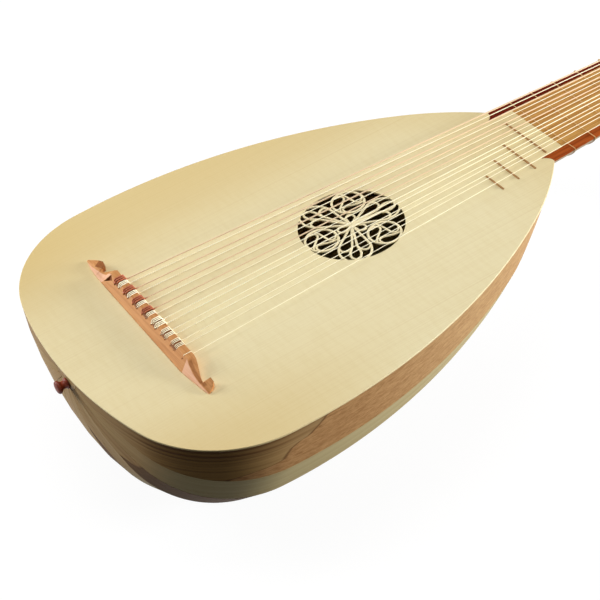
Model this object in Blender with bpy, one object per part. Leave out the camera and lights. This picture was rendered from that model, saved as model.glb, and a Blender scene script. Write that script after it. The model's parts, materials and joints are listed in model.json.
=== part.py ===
"""An eight-course renaissance lute at full size, in metres, +Z up.

It is drawn in the lute's own frame: the origin lies on the soundboard's top face at the middle of the
bridge's front, +X is the treble side, +Y runs to the nut and +Z stands up from the soundboard. An empty
then lays the lute on its back, so that it rests on the middle rib and on the end of the pegbox, and moves
it so that the middle of its footprint is the origin.
"""
import math

import bmesh
import bpy
from mathutils import Matrix, Vector

# Fits
GAP = 0.0003
TURNING_CLEARANCE = 0.00045
CUT_OVERRUN = 0.002

# Outline of half the soundboard, as arcs that run on from each other from the tail to the neck
TAIL_DISTANCE = 0.0864
TAIL_RADIUS = 0.361
TAIL_TURN = math.radians(14.3)
HIP_RADIUS = 0.0956
HIP_TURN = math.radians(72.4)
SIDE_RADIUS = 0.4995
SIDE_TURN = math.radians(34.4)
SHOULDER_RADIUS = 0.267
TAIL_STEPS = 3
HIP_STEPS = 9
SIDE_STEPS = 8
SHOULDER_STEPS = 6

# Bowl
RIB_COUNT = 11
OUTER_RIB_TURN = math.radians(17.0)
RIB_THICKNESS = 0.0016
DEPTH_RATIO = 0.905
NECK_DEPTH_RATIO = 0.55
NECK_ROUNDNESS = 1.6
SHOULDER_START = 0.258
TAIL_PATCH_RADIUS = 0.015
TAIL_BLOCK_RADIUS = 0.034
TAIL_BLOCK_LENGTH = 0.018
NECK_BLOCK_LENGTH = 0.034

# Soundboard
BOARD_THICKNESS = 0.0016
TONGUE_LENGTH = 0.017
BARS_FROM_BRIDGE = (-0.044, 0.055)
BAR_BELOW_ROSE = 0.0216
BAR_ABOVE_ROSE = 0.0230
BARS_BEFORE_NECK_BLOCK = (0.0406, 0.0096)
BAR_WIDTH = 0.005
BAR_HEIGHT = 0.014
BAR_END_CLEARANCE = 0.001

# Rose, with the radii that its lines are drawn for
ROSE_PLACE = 0.1803
ROSE_RADIUS = 0.0437
ROSE_LINES_RADIUS = 43.7
WHIRL_LINES_RADIUS = 13.5
ROSE_SIDES = 48
STRAP_MITRE_LIMIT = 0.7
STRAP_WIDTH = 0.0022
WHIRL_STRAP_WIDTH = 0.0019
DROP_STRAP_WIDTH = 0.0017
MEDALLION_RADIUS = 0.0135
MEDALLION_FROM_RIM = 0.0009
MEDALLION_SIDES = 22
DROP_PLACE = 0.0092
DROP_RADIUS = 0.0037

# Neck and fingerboard
STRING_LENGTH = 0.600
NECK_HALF_WIDTH = 0.044
NUT_HALF_WIDTH = 0.034
NECK_SIDES = 12
NUT_DEPTH = 0.0195
EDGE_STRIP_WIDTH = 0.0093
EDGE_STRIP_WIDTH_AT_NUT = 0.0066
SCOOP_RADIUS = 0.0096
SCOOP_STEPS = 5

# Nut
NUT_LENGTH = 0.0056
NUT_FLAT = 0.0028
NUT_HEIGHT = 0.0026
NUT_FALL = 0.0017
NUT_UNDERCUT = 0.0010
NUT_SLOT_FLOOR = 0.0015

# Frets: tied ones as far as the neck goes, then short ones on the soundboard, each with how far it ends
# from the soundboard's treble edge and how long it is
FRETS_IN_OCTAVE = 12
TIED_FRET_CLEARANCE = 0.004
FIRST_FRET_DIAMETER = 0.00104
LAST_FRET_DIAMETER = 0.00074
FRET_KNOT_SWELL = 1.9
BODY_FRETS = ((0.0025, 0.0543), (0.0190, 0.0435), (0.0326, 0.0336), (0.0425, 0.0230))
BODY_FRET_WIDTH = 0.0017
BODY_FRET_HEIGHT = 0.0008

# Strings, as the diameters in each course from the treble side
COURSES = (
    (0.00048,),
    (0.00056, 0.00056),
    (0.00070, 0.00070),
    (0.00088, 0.00088),
    (0.00062, 0.00106),
    (0.00070, 0.00118),
    (0.00076, 0.00126),
    (0.00082, 0.00134),
)
BRIDGE_FIRST_COURSE = 0.0508
BRIDGE_COURSE_PITCH = 0.0149
BRIDGE_PAIR_SPACING = 0.0060
NUT_FIRST_COURSE = 0.0284
NUT_COURSE_PITCH = 0.0078
NUT_PAIR_SPACING = 0.0036
TURNS_ON_PEG = 1.1
POINTS_PER_TURN = 7

# Bridge, in its own frame: along it, across it to the front, and up
BRIDGE_SLANT = math.radians(-2.2)
BRIDGE_PLACE = -0.0016
BLOCK_BASS_END = -0.0675
BLOCK_TREBLE_END = 0.0555
BLOCK_HEIGHT = 0.0090
BLOCK_TOP_WIDTH = 0.0060
BRIDGE_DEPTH = 0.0138
BRIDGE_EDGE = 0.0014
STRING_HOLE_HEIGHT = 0.0066
TIE_SPREAD = 0.0005

# Carved ends of the bridge in millimetres, as slices from the tie block outwards: how far past the block,
# then place and height of the front edge, of the ridge and of the back edge
BASS_CARVING = (
    (2.6, -1.2, 7.9, -7.0, 7.4, -13.7, 1.4),
    (5.8, -3.3, 5.6, -7.2, 4.6, -13.7, 1.3),
    (10.4, -6.6, 3.4, -8.4, 3.1, -13.6, 1.2),
    (14.2, -8.5, 2.9, -9.6, 2.7, -13.5, 1.2),
    (15.4, -3.6, 5.4, -8.2, 4.0, -13.4, 1.2),
    (20.6, -2.6, 5.6, -9.2, 3.7, -13.1, 1.2),
    (25.2, -4.3, 4.6, -9.5, 3.0, -12.4, 1.1),
    (34.6, -9.5, 1.5, -10.0, 1.4, -10.7, 1.0),
)
TREBLE_CARVING = (
    (3.2, -0.4, 8.0, -7.2, 7.6, -13.5, 1.4),
    (8.4, -2.1, 6.0, -8.7, 5.6, -13.0, 1.3),
    (13.6, -4.1, 4.2, -9.6, 4.0, -12.3, 1.2),
    (18.8, -6.0, 3.2, -9.8, 3.0, -11.6, 1.2),
    (23.4, -7.1, 2.6, -9.5, 2.5, -11.0, 1.2),
    (24.9, -1.0, 5.5, -8.3, 3.5, -10.7, 1.2),
    (29.4, -0.9, 4.8, -8.5, 2.7, -10.0, 1.2),
    (32.0, -3.0, 3.1, -8.5, 2.0, -9.6, 1.1),
    (34.4, -6.6, 1.4, -8.4, 1.3, -9.0, 1.0),
)

# End button
BUTTON_HEIGHT = 0.0095
BUTTON_RADIUS = 0.0054
BUTTON_NECK_RADIUS = 0.0034
BUTTON_LENGTH = 0.0098
SHANK_RADIUS = 0.0022
SHANK_LENGTH = 0.013
SMALL_ROUND_SIDES = 16

# Pegbox, with distances along it counted from the top of the neck at the nut
PEGBOX_BEND = math.radians(82.0)
PEGBOX_LENGTH = 0.200
PEGBOX_END_HALF_WIDTH = 0.0215
PEGBOX_DEPTH = 0.027
PEGBOX_END_DEPTH = 0.022
PEGBOX_OVERHANG = 0.005
CHEEK_THICKNESS = 0.0042
BACK_THICKNESS = 0.004
END_THICKNESS = 0.007
HOLLOW_START = 0.0022
HOLLOW_SLOPE_LENGTH = 0.013

# Pegs
FIRST_PEG_PLACE = 0.025
LAST_PEG_FROM_END = 0.0140
PEG_DEPTH = 0.0125
PEG_RADIUS = 0.0040
PEG_TAPER = 1.0 / 60.0
PEG_TIP_LENGTH = 0.0022
PEG_NECK_LENGTH = 0.0050
PEG_COLLAR_RADIUS = 0.0050
PEG_COLLAR_CHAMFER = 0.0012
PEG_COLLAR_LENGTH = 0.0016
PEG_STEM_LENGTH = 0.0035
PEG_STEM_HALF_WIDTH = 0.0036
PEG_STEM_HALF_THICKNESS = 0.0031
PEG_TIP_ROUNDING = 0.0009
PEG_HEAD_LENGTH = 0.0200
PEG_HEAD_HALF_WIDTH = 0.0097
PEG_HEAD_HALF_THICKNESS = 0.0037
PEG_SIDES = 10
STRING_DRAW_IN = 0.8


def material(name, colour, roughness):
    """A plain finish for one kind of wood, gut or bone."""
    found = bpy.data.materials.new(name)
    found.use_nodes = True
    shader = found.node_tree.nodes["Principled BSDF"]
    shader.inputs["Base Color"].default_value = (*colour, 1.0)
    shader.inputs["Roughness"].default_value = roughness
    shader.inputs["Metallic"].default_value = 0.0
    return found


def add_object(name, data, finish, parent):
    thing = bpy.data.objects.new(name, data)
    bpy.context.scene.collection.objects.link(thing)
    thing.data.materials.append(finish)
    thing.parent = parent
    return thing


def mesh_from(bm, name):
    """The mesh of a bmesh, with its faces turned outwards."""
    bmesh.ops.recalc_face_normals(bm, faces=bm.faces)
    mesh = bpy.data.meshes.new(name)
    bm.to_mesh(mesh)
    bm.free()
    return mesh


def add_loft(bm, sections):
    """A closed body through loops of equally many points, with a face on each end."""
    loops = [[bm.verts.new(point) for point in section] for section in sections]
    for loop, following in zip(loops, loops[1:]):
        for i, corner in enumerate(loop):
            j = (i + 1) % len(loop)
            bm.faces.new((corner, loop[j], following[j], following[i]))
    bm.faces.new(loops[0][::-1])
    bm.faces.new(loops[-1])


def loft(name, sections):
    bm = bmesh.new()
    add_loft(bm, sections)
    return mesh_from(bm, name)


def add_plate(bm, outline_points, bottom, top):
    """A flat plate of one outline between two heights."""
    add_loft(bm, [[Vector((p[0], p[1], height)) for p in outline_points] for height in (bottom, top)])


def plate(name, outline_points, bottom, top):
    bm = bmesh.new()
    add_plate(bm, outline_points, bottom, top)
    return mesh_from(bm, name)


def cut_flat(bm, point, normal):
    """Takes away what lies past a plane, on the side that its normal points to, and closes the cut."""
    whole = bm.verts[:] + bm.edges[:] + bm.faces[:]
    cut = bmesh.ops.bisect_plane(bm, geom=whole, plane_co=point, plane_no=normal, clear_outer=True)
    rim = [part for part in cut["geom_cut"] if isinstance(part, bmesh.types.BMEdge)]
    bmesh.ops.holes_fill(bm, edges=rim, sides=0)


def guide(name, bm, parent):
    """A shape that only cuts or joins, and isn't a piece of the lute."""
    tool = bpy.data.objects.new(name, mesh_from(bm, name))
    bpy.context.scene.collection.objects.link(tool)
    tool.parent = parent
    tool.hide_render = True
    tool.display_type = "WIRE"
    return tool


def boolean(thing, tool, operation):
    step = thing.modifiers.new(tool.name, "BOOLEAN")
    step.operation = operation
    step.object = tool
    step.solver = "MANIFOLD"


def outline_arcs():
    """Centre, radius, first heading and last heading of each arc of the treble half's outline."""
    arcs = []
    point = Vector((0.0, -TAIL_DISTANCE))
    heading = 0.0
    turns = ((TAIL_RADIUS, TAIL_TURN), (HIP_RADIUS, HIP_TURN), (SIDE_RADIUS, SIDE_TURN))
    for radius, turn in turns:
        centre = point + radius * Vector((-math.sin(heading), math.cos(heading)))
        arcs.append((centre, radius, heading, heading + turn))
        heading += turn
        point = centre + radius * Vector((math.sin(heading), -math.cos(heading)))
    centre = point + SHOULDER_RADIUS * Vector((-math.sin(heading), math.cos(heading)))
    last = math.pi - math.asin((NECK_HALF_WIDTH - centre.x) / SHOULDER_RADIUS)
    arcs.append((centre, SHOULDER_RADIUS, heading, last))
    return arcs


ARCS = outline_arcs()
PATCH_HEADING = math.asin(TAIL_PATCH_RADIUS / TAIL_RADIUS)


def outline(heading, inset=0.0):
    """Half-width and place along the lute where the outline has this heading, a wall's inset inside."""
    for centre, radius, first, last in ARCS:
        if heading <= last + 1e-9:
            break
    return centre + (radius - inset) * Vector((math.sin(heading), -math.cos(heading)))


def headings(start, refine=1):
    """Headings from a start to the neck, with each arc in its own number of steps."""
    found = [start]
    steps = (TAIL_STEPS, HIP_STEPS, SIDE_STEPS, SHOULDER_STEPS)
    for (centre, radius, first, last), count in zip(ARCS, steps):
        first = max(first, start)
        count *= refine
        found += [first + (last - first) * (i + 1) / count for i in range(count)]
    return found


NECK_JOINT = outline(ARCS[-1][3]).y


def shoulder_share(place):
    """How far the bowl's section has changed from the body's to the neck's, from 0 to 1."""
    share = min(max((place - SHOULDER_START) / (NECK_JOINT - SHOULDER_START), 0.0), 1.0)
    return share * share * (3.0 - 2.0 * share)


def section_point(half_width, place, depth, angle, roundness):
    """A point of a bowl's or neck's section, which is an ellipse at a roundness of 1, and leaner above."""
    drop = depth * max(math.sin(angle), 0.0) ** roundness
    return Vector((half_width * math.cos(angle), place, -drop))


def bowl_point(heading, angle, inset=0.0):
    """A point of the bowl, at an angle of 0 on the treble rim and of 180 degrees on the bass rim."""
    half_width, place = outline(heading, inset)
    share = shoulder_share(outline(heading).y)
    depth = half_width * (DEPTH_RATIO + (NECK_DEPTH_RATIO - DEPTH_RATIO) * share)
    return section_point(half_width, place, depth, angle, 1.0 + (NECK_ROUNDNESS - 1.0) * share)


def seam_angles():
    """The angles of the seams between the ribs, rims included."""
    inner = (math.pi - 2.0 * OUTER_RIB_TURN) / (RIB_COUNT - 2)
    middle = [OUTER_RIB_TURN + inner * i for i in range(RIB_COUNT - 1)]
    return [0.0, *middle, math.pi]


def fret_place(number):
    return STRING_LENGTH * 2.0 ** (-number / FRETS_IN_OCTAVE)


def frets_on_neck():
    """How many frets lie far enough up the neck to be tied round it."""
    number = 0
    while fret_place(number + 1) > NECK_JOINT + TIED_FRET_CLEARANCE:
        number += 1
    return number


TIED_FRETS = frets_on_neck()
SEAMS = seam_angles()
BOARD_UNDERSIDE = -BOARD_THICKNESS
GLUE_PLANE = BOARD_UNDERSIDE - GAP


def neck_half_width(place):
    share = (place - NECK_JOINT) / (STRING_LENGTH - NECK_JOINT)
    return NECK_HALF_WIDTH + (NUT_HALF_WIDTH - NECK_HALF_WIDTH) * share


def neck_depth(place):
    share = (place - NECK_JOINT) / (STRING_LENGTH - NECK_JOINT)
    joint_depth = NECK_DEPTH_RATIO * NECK_HALF_WIDTH + GLUE_PLANE
    return joint_depth + (NUT_DEPTH - joint_depth) * share


def strip_inner_edge(place):
    share = (place - NECK_JOINT) / (STRING_LENGTH - NECK_JOINT)
    width = EDGE_STRIP_WIDTH + (EDGE_STRIP_WIDTH_AT_NUT - EDGE_STRIP_WIDTH) * share
    return neck_half_width(place) - width


def scoop(radius, reach):
    """The hollow end of an edge strip, from the neck's corner to near its point, on the treble side."""
    centre = Vector((NECK_HALF_WIDTH, NECK_JOINT - SCOOP_RADIUS))
    turns = [reach * i / SCOOP_STEPS for i in range(SCOOP_STEPS + 1)]
    return [centre + radius * Vector((-math.sin(turn), math.cos(turn))) for turn in turns]


POINT_TURN = math.asin(min(EDGE_STRIP_WIDTH / (SCOOP_RADIUS + GAP), 0.98))


def mirrored(points):
    return [Vector((-p.x, p.y)) for p in reversed(points)]


def make_ribs(finishes, parent):
    """Bent ribs of the bowl, each flat across, butted at seams that all run to the tail and the neck."""
    for number in range(RIB_COUNT):
        sections = []
        for heading in headings(PATCH_HEADING):
            section = []
            for inset, order in ((0.0, (0, 1)), (RIB_THICKNESS, (1, 0))):
                for side in order:
                    angle = SEAMS[number + side]
                    point = bowl_point(heading, angle, inset)
                    out = Vector((point.x, 0.0, point.z)).normalized()
                    push = Vector((out.z, 0.0, -out.x)) * (GAP / 2.0)
                    section.append(point + (push if side == 0 else -push))
            sections.append(section)
        bm = bmesh.new()
        add_loft(bm, sections)
        if number in (0, RIB_COUNT - 1):
            cut_flat(bm, (0.0, 0.0, GLUE_PLANE), (0.0, 0.0, 1.0))
        mesh = mesh_from(bm, f"rib_{number + 1}")
        add_object(f"rib_{number + 1}", mesh, finishes[number % 2], parent)


def make_tail_block(finish, parent):
    """The block inside the tail that the rib ends and the end button are fixed to."""
    inset = RIB_THICKNESS + GAP
    reach = math.asin(TAIL_BLOCK_RADIUS / (TAIL_RADIUS - inset))
    seat = outline(PATCH_HEADING, inset)
    wide = outline(reach, inset)
    patch = TAIL_PATCH_RADIUS - GAP
    places = (
        (patch, outline(PATCH_HEADING).y),
        (patch, seat.y),
        (wide.x, wide.y),
        (wide.x, outline(0.0).y + TAIL_BLOCK_LENGTH),
    )
    bm = bmesh.new()
    add_loft(bm, [
        [section_point(width, place, DEPTH_RATIO * width, angle, 1.0) for angle in SEAMS]
        for width, place in places
    ])
    cut_flat(bm, (0.0, 0.0, GLUE_PLANE), (0.0, 0.0, 1.0))
    block = add_object("tail_block", mesh_from(bm, "tail_block"), finish, parent)
    bm = bmesh.new()
    first = outline(0.0).y
    add_turned(bm, ((first - CUT_OVERRUN, SHANK_RADIUS + TURNING_CLEARANCE),
                    (first + SHANK_LENGTH + GAP, SHANK_RADIUS + TURNING_CLEARANCE)), SMALL_ROUND_SIDES)
    bmesh.ops.translate(bm, verts=bm.verts, vec=(0.0, 0.0, -BUTTON_HEIGHT))
    boolean(block, guide("shank_hole", bm, parent), "DIFFERENCE")


def make_neck_block(finish, parent):
    """The block inside the bowl that carries the neck."""
    inset = RIB_THICKNESS + GAP
    last = ARCS[-1][3]
    centre, radius, first, _ = ARCS[-1]
    start_cosine = (centre.y - (NECK_JOINT - NECK_BLOCK_LENGTH)) / (radius - inset)
    start = max(math.acos(max(min(start_cosine, 1.0), -1.0)), first)
    steps = SHOULDER_STEPS
    sections = []
    for i in range(steps + 1):
        heading = start + (last - start) * i / steps
        sections.append([bowl_point(heading, angle, inset) for angle in SEAMS])
    bm = bmesh.new()
    add_loft(bm, sections)
    cut_flat(bm, (0.0, 0.0, GLUE_PLANE), (0.0, 0.0, 1.0))
    add_object("neck_block", mesh_from(bm, "neck_block"), finish, parent)


def add_turned(bm, profile, sides):
    """A body turned about +Y from places along it and radii."""
    turns = [2.0 * math.pi * i / sides for i in range(sides)]
    add_loft(bm, [[Vector((r * math.cos(t), y, r * math.sin(t))) for t in turns] for y, r in profile])


def strap(bm, points, width):
    """A flat strap of the rose along a line of points, closed where the line comes back to its start."""
    closed = (points[0] - points[-1]).length < 1e-6
    if closed:
        points = points[:-1]
    count = len(points)
    left = []
    right = []
    for i, point in enumerate(points):
        before = points[i - 1] if closed or i else point
        after = points[(i + 1) % count] if closed or i < count - 1 else point
        along = (after - before).normalized()
        side = Vector((-along.y, along.x))
        corner = 1.0
        if closed or 0 < i < count - 1:
            corner = max((point - before).normalized().dot(along), STRAP_MITRE_LIMIT)
        left.append(point + side * width / (2.0 * corner))
        right.append(point - side * width / (2.0 * corner))
    if not closed:
        add_plate(bm, left + right[::-1], BOARD_UNDERSIDE, 0.0)
        return
    rings = []
    for height in (BOARD_UNDERSIDE, 0.0):
        for edge in (left, right):
            rings.append([bm.verts.new((p.x, p.y, height)) for p in edge])
    low_left, low_right, top_left, top_right = rings
    for first, second in (
        (low_left, top_left), (top_left, top_right), (top_right, low_right), (low_right, low_left)
    ):
        for i in range(count):
            j = (i + 1) % count
            bm.faces.new((first[i], first[j], second[j], second[i]))


def smooth_line(points, pieces):
    """Points on a smooth curve through the given ones, with so many pieces between each two."""
    found = []
    for i in range(len(points) - 1):
        a = points[max(i - 1, 0)]
        b = points[i]
        c = points[i + 1]
        d = points[min(i + 2, len(points) - 1)]
        for k in range(pieces):
            t = k / pieces
            found.append(
                b + (c - a) * (t / 2.0) + (2.0 * a - 5.0 * b + 4.0 * c - d) * (t * t / 2.0)
                + (3.0 * b - a - 3.0 * c + d) * (t * t * t / 2.0)
            )
    return found + [points[-1]]


def circle_line(centre, radius, steps):
    turns = [2.0 * math.pi * i / steps for i in range(steps + 1)]
    found = [centre + radius * Vector((math.cos(t), math.sin(t))) for t in turns]
    found[-1] = found[0].copy()
    return found


def on_rose(*pairs):
    """Points of the rose's lines, which are drawn for a rose of one radius."""
    return [Vector(pair) * ROSE_RADIUS / ROSE_LINES_RADIUS for pair in pairs]


def rose_straps():
    """Lines and widths of the straps in one third of the rose, with its open leaf towards +Y."""
    hub = Vector((0.0, 0.0))
    outer = on_rose((0, 0), (-5.9, 12.0), (-11.9, 24.0), (-13.1, 29.5), (-12.9, 34.6), (-11.0, 39.0),
                        (-7.2, 43.2))
    spear = on_rose((0, 0), (-1.5, 20.0), (-1.9, 26.0), (-3.2, 30.5), (-4.2, 34.0), (-4.3, 37.2),
                        (-3.2, 40.8), (0, 43.1))
    hood = on_rose((-12.6, 28.0), (-10.7, 31.2), (-7.6, 32.0), (-4.8, 30.9), (-2.9, 28.0))
    found = []
    for line in (outer, spear, hood):
        curved = [line[0]] + smooth_line(line[1:], 2)
        found.append((curved, STRAP_WIDTH))
        found.append(([Vector((-p.x, p.y)) for p in curved], STRAP_WIDTH))
    medallion = Vector((0.0, MEDALLION_RADIUS + MEDALLION_FROM_RIM - ROSE_RADIUS))
    found.append((circle_line(medallion, MEDALLION_RADIUS, MEDALLION_SIDES), STRAP_WIDTH))
    whirl = ((13.0, 92), (9.3, 78), (5.9, 58), (4.3, 12), (5.9, -27), (8.8, -29), (11.3, -16), (13.3, 2))
    for start in (85.0, 205.0, 325.0):
        line = []
        for distance, angle in whirl:
            turn = math.radians(start + angle)
            reach = distance * MEDALLION_RADIUS / WHIRL_LINES_RADIUS
            line.append(medallion + Vector((math.cos(turn), math.sin(turn))) * reach)
        found.append((line, WHIRL_STRAP_WIDTH))
    drop = [hub]
    for i in range(9):
        turn = math.radians(150.0 + 240.0 * i / 8)
        drop.append(Vector((DROP_RADIUS * math.cos(turn), DROP_RADIUS * math.sin(turn) - DROP_PLACE)))
    found.append((drop + [hub.copy()], DROP_STRAP_WIDTH))
    return found


def board_outline():
    treble = [Vector((0.0, -TAIL_DISTANCE))]
    treble += [outline(heading) for heading in headings(ARCS[0][2], refine=2)[1:-1]]
    treble += scoop(SCOOP_RADIUS - GAP, POINT_TURN)
    notch = treble[-1]
    edge = strip_inner_edge(notch.y) - GAP
    treble.append(Vector((min(edge, notch.x - GAP), notch.y - GAP)))
    tongue = NECK_JOINT + TONGUE_LENGTH
    treble.append(Vector((strip_inner_edge(tongue) - GAP, tongue)))
    return treble + mirrored(treble[1:])


def bar_places():
    """Places of the soundboard's bars, by the bridge, either side of the rose and by the neck block."""
    rose_bars = (ROSE_PLACE - ROSE_RADIUS - BAR_BELOW_ROSE, ROSE_PLACE + ROSE_RADIUS + BAR_ABOVE_ROSE)
    neck_bars = [NECK_JOINT - NECK_BLOCK_LENGTH - before for before in BARS_BEFORE_NECK_BLOCK]
    return [*BARS_FROM_BRIDGE, *rose_bars, *neck_bars]


def board_edge(place):
    """Half the soundboard's width at a place between the rose and the end of its tongue."""
    treble = [point for point in board_outline() if point.x > 0.0]
    found = []
    for point, following in zip(treble, treble[1:]):
        if min(point.y, following.y) <= place <= max(point.y, following.y) and point.y != following.y:
            share = (place - point.y) / (following.y - point.y)
            found.append(point.x + (following.x - point.x) * share)
    return min(found)


def bar_half_length(place):
    """Half the length of a bar under the soundboard, so that it ends just inside the bowl."""
    inset = RIB_THICKNESS + BAR_END_CLEARANCE
    low = BAR_HEIGHT + BOARD_THICKNESS
    reach = 1.0
    for edge in (place - BAR_WIDTH / 2.0, place + BAR_WIDTH / 2.0):
        heading = min(headings(0.0, refine=12), key=lambda h: abs(outline(h, inset).y - edge))
        wall = [bowl_point(heading, angle, inset) for angle in SEAMS[:3]]
        for upper, lower in zip(wall, wall[1:]):
            if upper.z >= -low >= lower.z:
                share = (upper.z + low) / (upper.z - lower.z)
                reach = min(reach, upper.x + (lower.x - upper.x) * share)
    return reach


def make_soundboard(finish, parent):
    """The soundboard, with its rose cut through it, its bars below and its four short frets on top."""
    board = add_object(
        "soundboard", plate("soundboard", board_outline(), BOARD_UNDERSIDE, 0.0), finish, parent
    )
    bm = bmesh.new()
    rim = circle_line(Vector((0.0, ROSE_PLACE)), ROSE_RADIUS, ROSE_SIDES)[:-1]
    add_plate(bm, rim, 2.0 * BOARD_UNDERSIDE, BOARD_THICKNESS)
    boolean(board, guide("rose_hole", bm, parent), "DIFFERENCE")
    number = 0
    for third in range(3):
        turn = Matrix.Rotation(math.radians(120.0 * third), 2)
        for line, width in rose_straps():
            bm = bmesh.new()
            strap(bm, [turn @ point + Vector((0.0, ROSE_PLACE)) for point in line], width)
            boolean(board, guide(f"rose_strap_{number}", bm, parent), "UNION")
            number += 1
    lap = BOARD_THICKNESS / 2.0
    for number, place in enumerate(bar_places()):
        half = bar_half_length(place)
        bm = bmesh.new()
        corners = [(-half, place - BAR_WIDTH / 2.0), (half, place - BAR_WIDTH / 2.0),
                   (half, place + BAR_WIDTH / 2.0), (-half, place + BAR_WIDTH / 2.0)]
        add_plate(bm, corners, BOARD_UNDERSIDE - BAR_HEIGHT, -lap)
        boolean(board, guide(f"soundboard_bar_{number}", bm, parent), "UNION")
    for number, (from_edge, length) in enumerate(BODY_FRETS, TIED_FRETS + 1):
        low = fret_place(number) - BODY_FRET_WIDTH / 2.0
        high = low + BODY_FRET_WIDTH
        right = min(board_edge(low), board_edge(high)) - from_edge
        left = right - length
        bm = bmesh.new()
        corners = [(left, low), (right, low), (right, high), (left, high)]
        add_plate(bm, corners, -lap, BODY_FRET_HEIGHT)
        boolean(board, guide(f"body_fret_{number}", bm, parent), "UNION")


def pegbox_origin():
    return Vector((0.0, STRING_LENGTH + NUT_LENGTH - NUT_UNDERCUT, GLUE_PLANE))


PEGBOX_TILT = math.pi / 2.0 - PEGBOX_BEND
PEGBOX_TURN = Matrix.Rotation(PEGBOX_TILT, 3, "X")


def from_pegbox(across, out, along):
    """A point of the pegbox's frame in the lute's frame: across, out of the open face, along the box."""
    return pegbox_origin() + PEGBOX_TURN @ Vector((across, out, -along))


def pegbox_half_width(along):
    start = neck_half_width(STRING_LENGTH)
    return start + (PEGBOX_END_HALF_WIDTH - start) * along / PEGBOX_LENGTH


def pegbox_depth(along):
    return PEGBOX_DEPTH + (PEGBOX_END_DEPTH - PEGBOX_DEPTH) * along / PEGBOX_LENGTH


def neck_section(place, swell=0.0):
    """The round back of the neck below the glue plane, swollen outwards for what is tied round it."""
    half_width = neck_half_width(place)
    depth = neck_depth(place)
    drop = Vector((0.0, 0.0, GLUE_PLANE))
    angles = [math.pi * i / NECK_SIDES for i in range(NECK_SIDES + 1)]
    points = [section_point(half_width, place, depth, a, NECK_ROUNDNESS) + drop for a in angles]
    upright = Vector((1.0, 0.0, 0.0))
    facings = [upright]
    for point, following in zip(points, points[1:]):
        along = following - point
        facings.append(Vector((-along.z, 0.0, along.x)).normalized())
    facings.append(-upright)
    found = []
    for point, before, after in zip(points, facings, facings[1:]):
        corner = (before + after).normalized()
        found.append(point + corner * swell / corner.dot(before))
    return found


def make_neck(finish, parent):
    start = NECK_JOINT + GAP
    sections = [neck_section(start + (STRING_LENGTH - start) * i / 4) for i in range(5)]
    bm = bmesh.new()
    add_loft(bm, sections)
    seat_top = from_pegbox(0.0, -pegbox_depth(0.0) - GAP, 0.0)
    seat_low = from_pegbox(0.0, -pegbox_depth(NUT_DEPTH) - GAP, NUT_DEPTH)
    down = (seat_low - seat_top).normalized()
    cut_flat(bm, seat_top, (0.0, -down.z, down.y))
    add_object("neck", mesh_from(bm, "neck"), finish, parent)


def make_fingerboard(finish, parent):
    start = NECK_JOINT + TONGUE_LENGTH + GAP
    end = STRING_LENGTH - GAP
    near = strip_inner_edge(start) - GAP
    far = strip_inner_edge(end) - GAP
    corners = [(near, start), (far, end), (-far, end), (-near, start)]
    add_object("fingerboard", plate("fingerboard", corners, BOARD_UNDERSIDE, 0.0), finish, parent)


def make_edge_strips(finish, parent):
    """The strips that edge the fingerboard and run out in scooped points over the body's corners."""
    end = STRING_LENGTH - GAP
    line = scoop(SCOOP_RADIUS, POINT_TURN)
    tip = line[-1]
    line[-1] = Vector((strip_inner_edge(tip.y), tip.y))
    treble = [*line, Vector((strip_inner_edge(end), end)), Vector((neck_half_width(end), end))]
    for name, points in (("edge_strip_treble", treble), ("edge_strip_bass", mirrored(treble))):
        add_object(name, plate(name, points, BOARD_UNDERSIDE, 0.0), finish, parent)


def nut_profile():
    """Corners of the nut from the side, as place and height, from its lower front corner."""
    front = STRING_LENGTH
    back = front + NUT_LENGTH
    return (
        (front, BOARD_UNDERSIDE),
        (front, NUT_HEIGHT),
        (front + NUT_FLAT, NUT_HEIGHT),
        (back, NUT_HEIGHT - NUT_FALL),
        (back - NUT_UNDERCUT, BOARD_UNDERSIDE),
    )


def course_strings():
    """Name, diameter and sideways places at bridge and nut of each string, from the treble side."""
    found = []
    for number, diameters in enumerate(COURSES):
        bridge_middle = BRIDGE_FIRST_COURSE - BRIDGE_COURSE_PITCH * number
        nut_middle = NUT_FIRST_COURSE - NUT_COURSE_PITCH * number
        paired = len(diameters) == 2
        for i, diameter in enumerate(diameters):
            shift = (0.5 - i) if paired else 0.0
            letter = "ab"[i] if paired else ""
            found.append((
                f"string_{number + 1}{letter}",
                diameter,
                bridge_middle + BRIDGE_PAIR_SPACING * shift,
                nut_middle + NUT_PAIR_SPACING * shift,
            ))
    return found


def make_nut(finish, parent):
    half = neck_half_width(STRING_LENGTH) - GAP
    sections = [[Vector((side, y, z)) for y, z in nut_profile()] for side in (-half, half)]
    nut = add_object("nut", loft("nut", sections), finish, parent)
    fall = NUT_FALL / (NUT_LENGTH - NUT_FLAT)
    bend = STRING_LENGTH + NUT_FLAT
    bm = bmesh.new()
    for _, diameter, _, middle in course_strings():
        half_slot = diameter / 2.0 + GAP
        floor = (
            (STRING_LENGTH - CUT_OVERRUN, NUT_SLOT_FLOOR),
            (bend, NUT_SLOT_FLOOR),
            (bend + NUT_LENGTH, NUT_SLOT_FLOOR - fall * NUT_LENGTH),
            (bend + NUT_LENGTH, NUT_HEIGHT + CUT_OVERRUN),
            (STRING_LENGTH - CUT_OVERRUN, NUT_HEIGHT + CUT_OVERRUN),
        )
        add_loft(bm, [[Vector((middle + s, y, z)) for y, z in floor] for s in (-half_slot, half_slot)])
    boolean(nut, guide("nut_slots", bm, parent), "DIFFERENCE")


def from_bridge(along, across, height):
    """A point of the bridge's frame in the lute's frame."""
    turn = Matrix.Rotation(BRIDGE_SLANT, 3, "Z")
    return turn @ Vector((along, across, height)) + Vector((0.0, BRIDGE_PLACE, 0.0))


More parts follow.
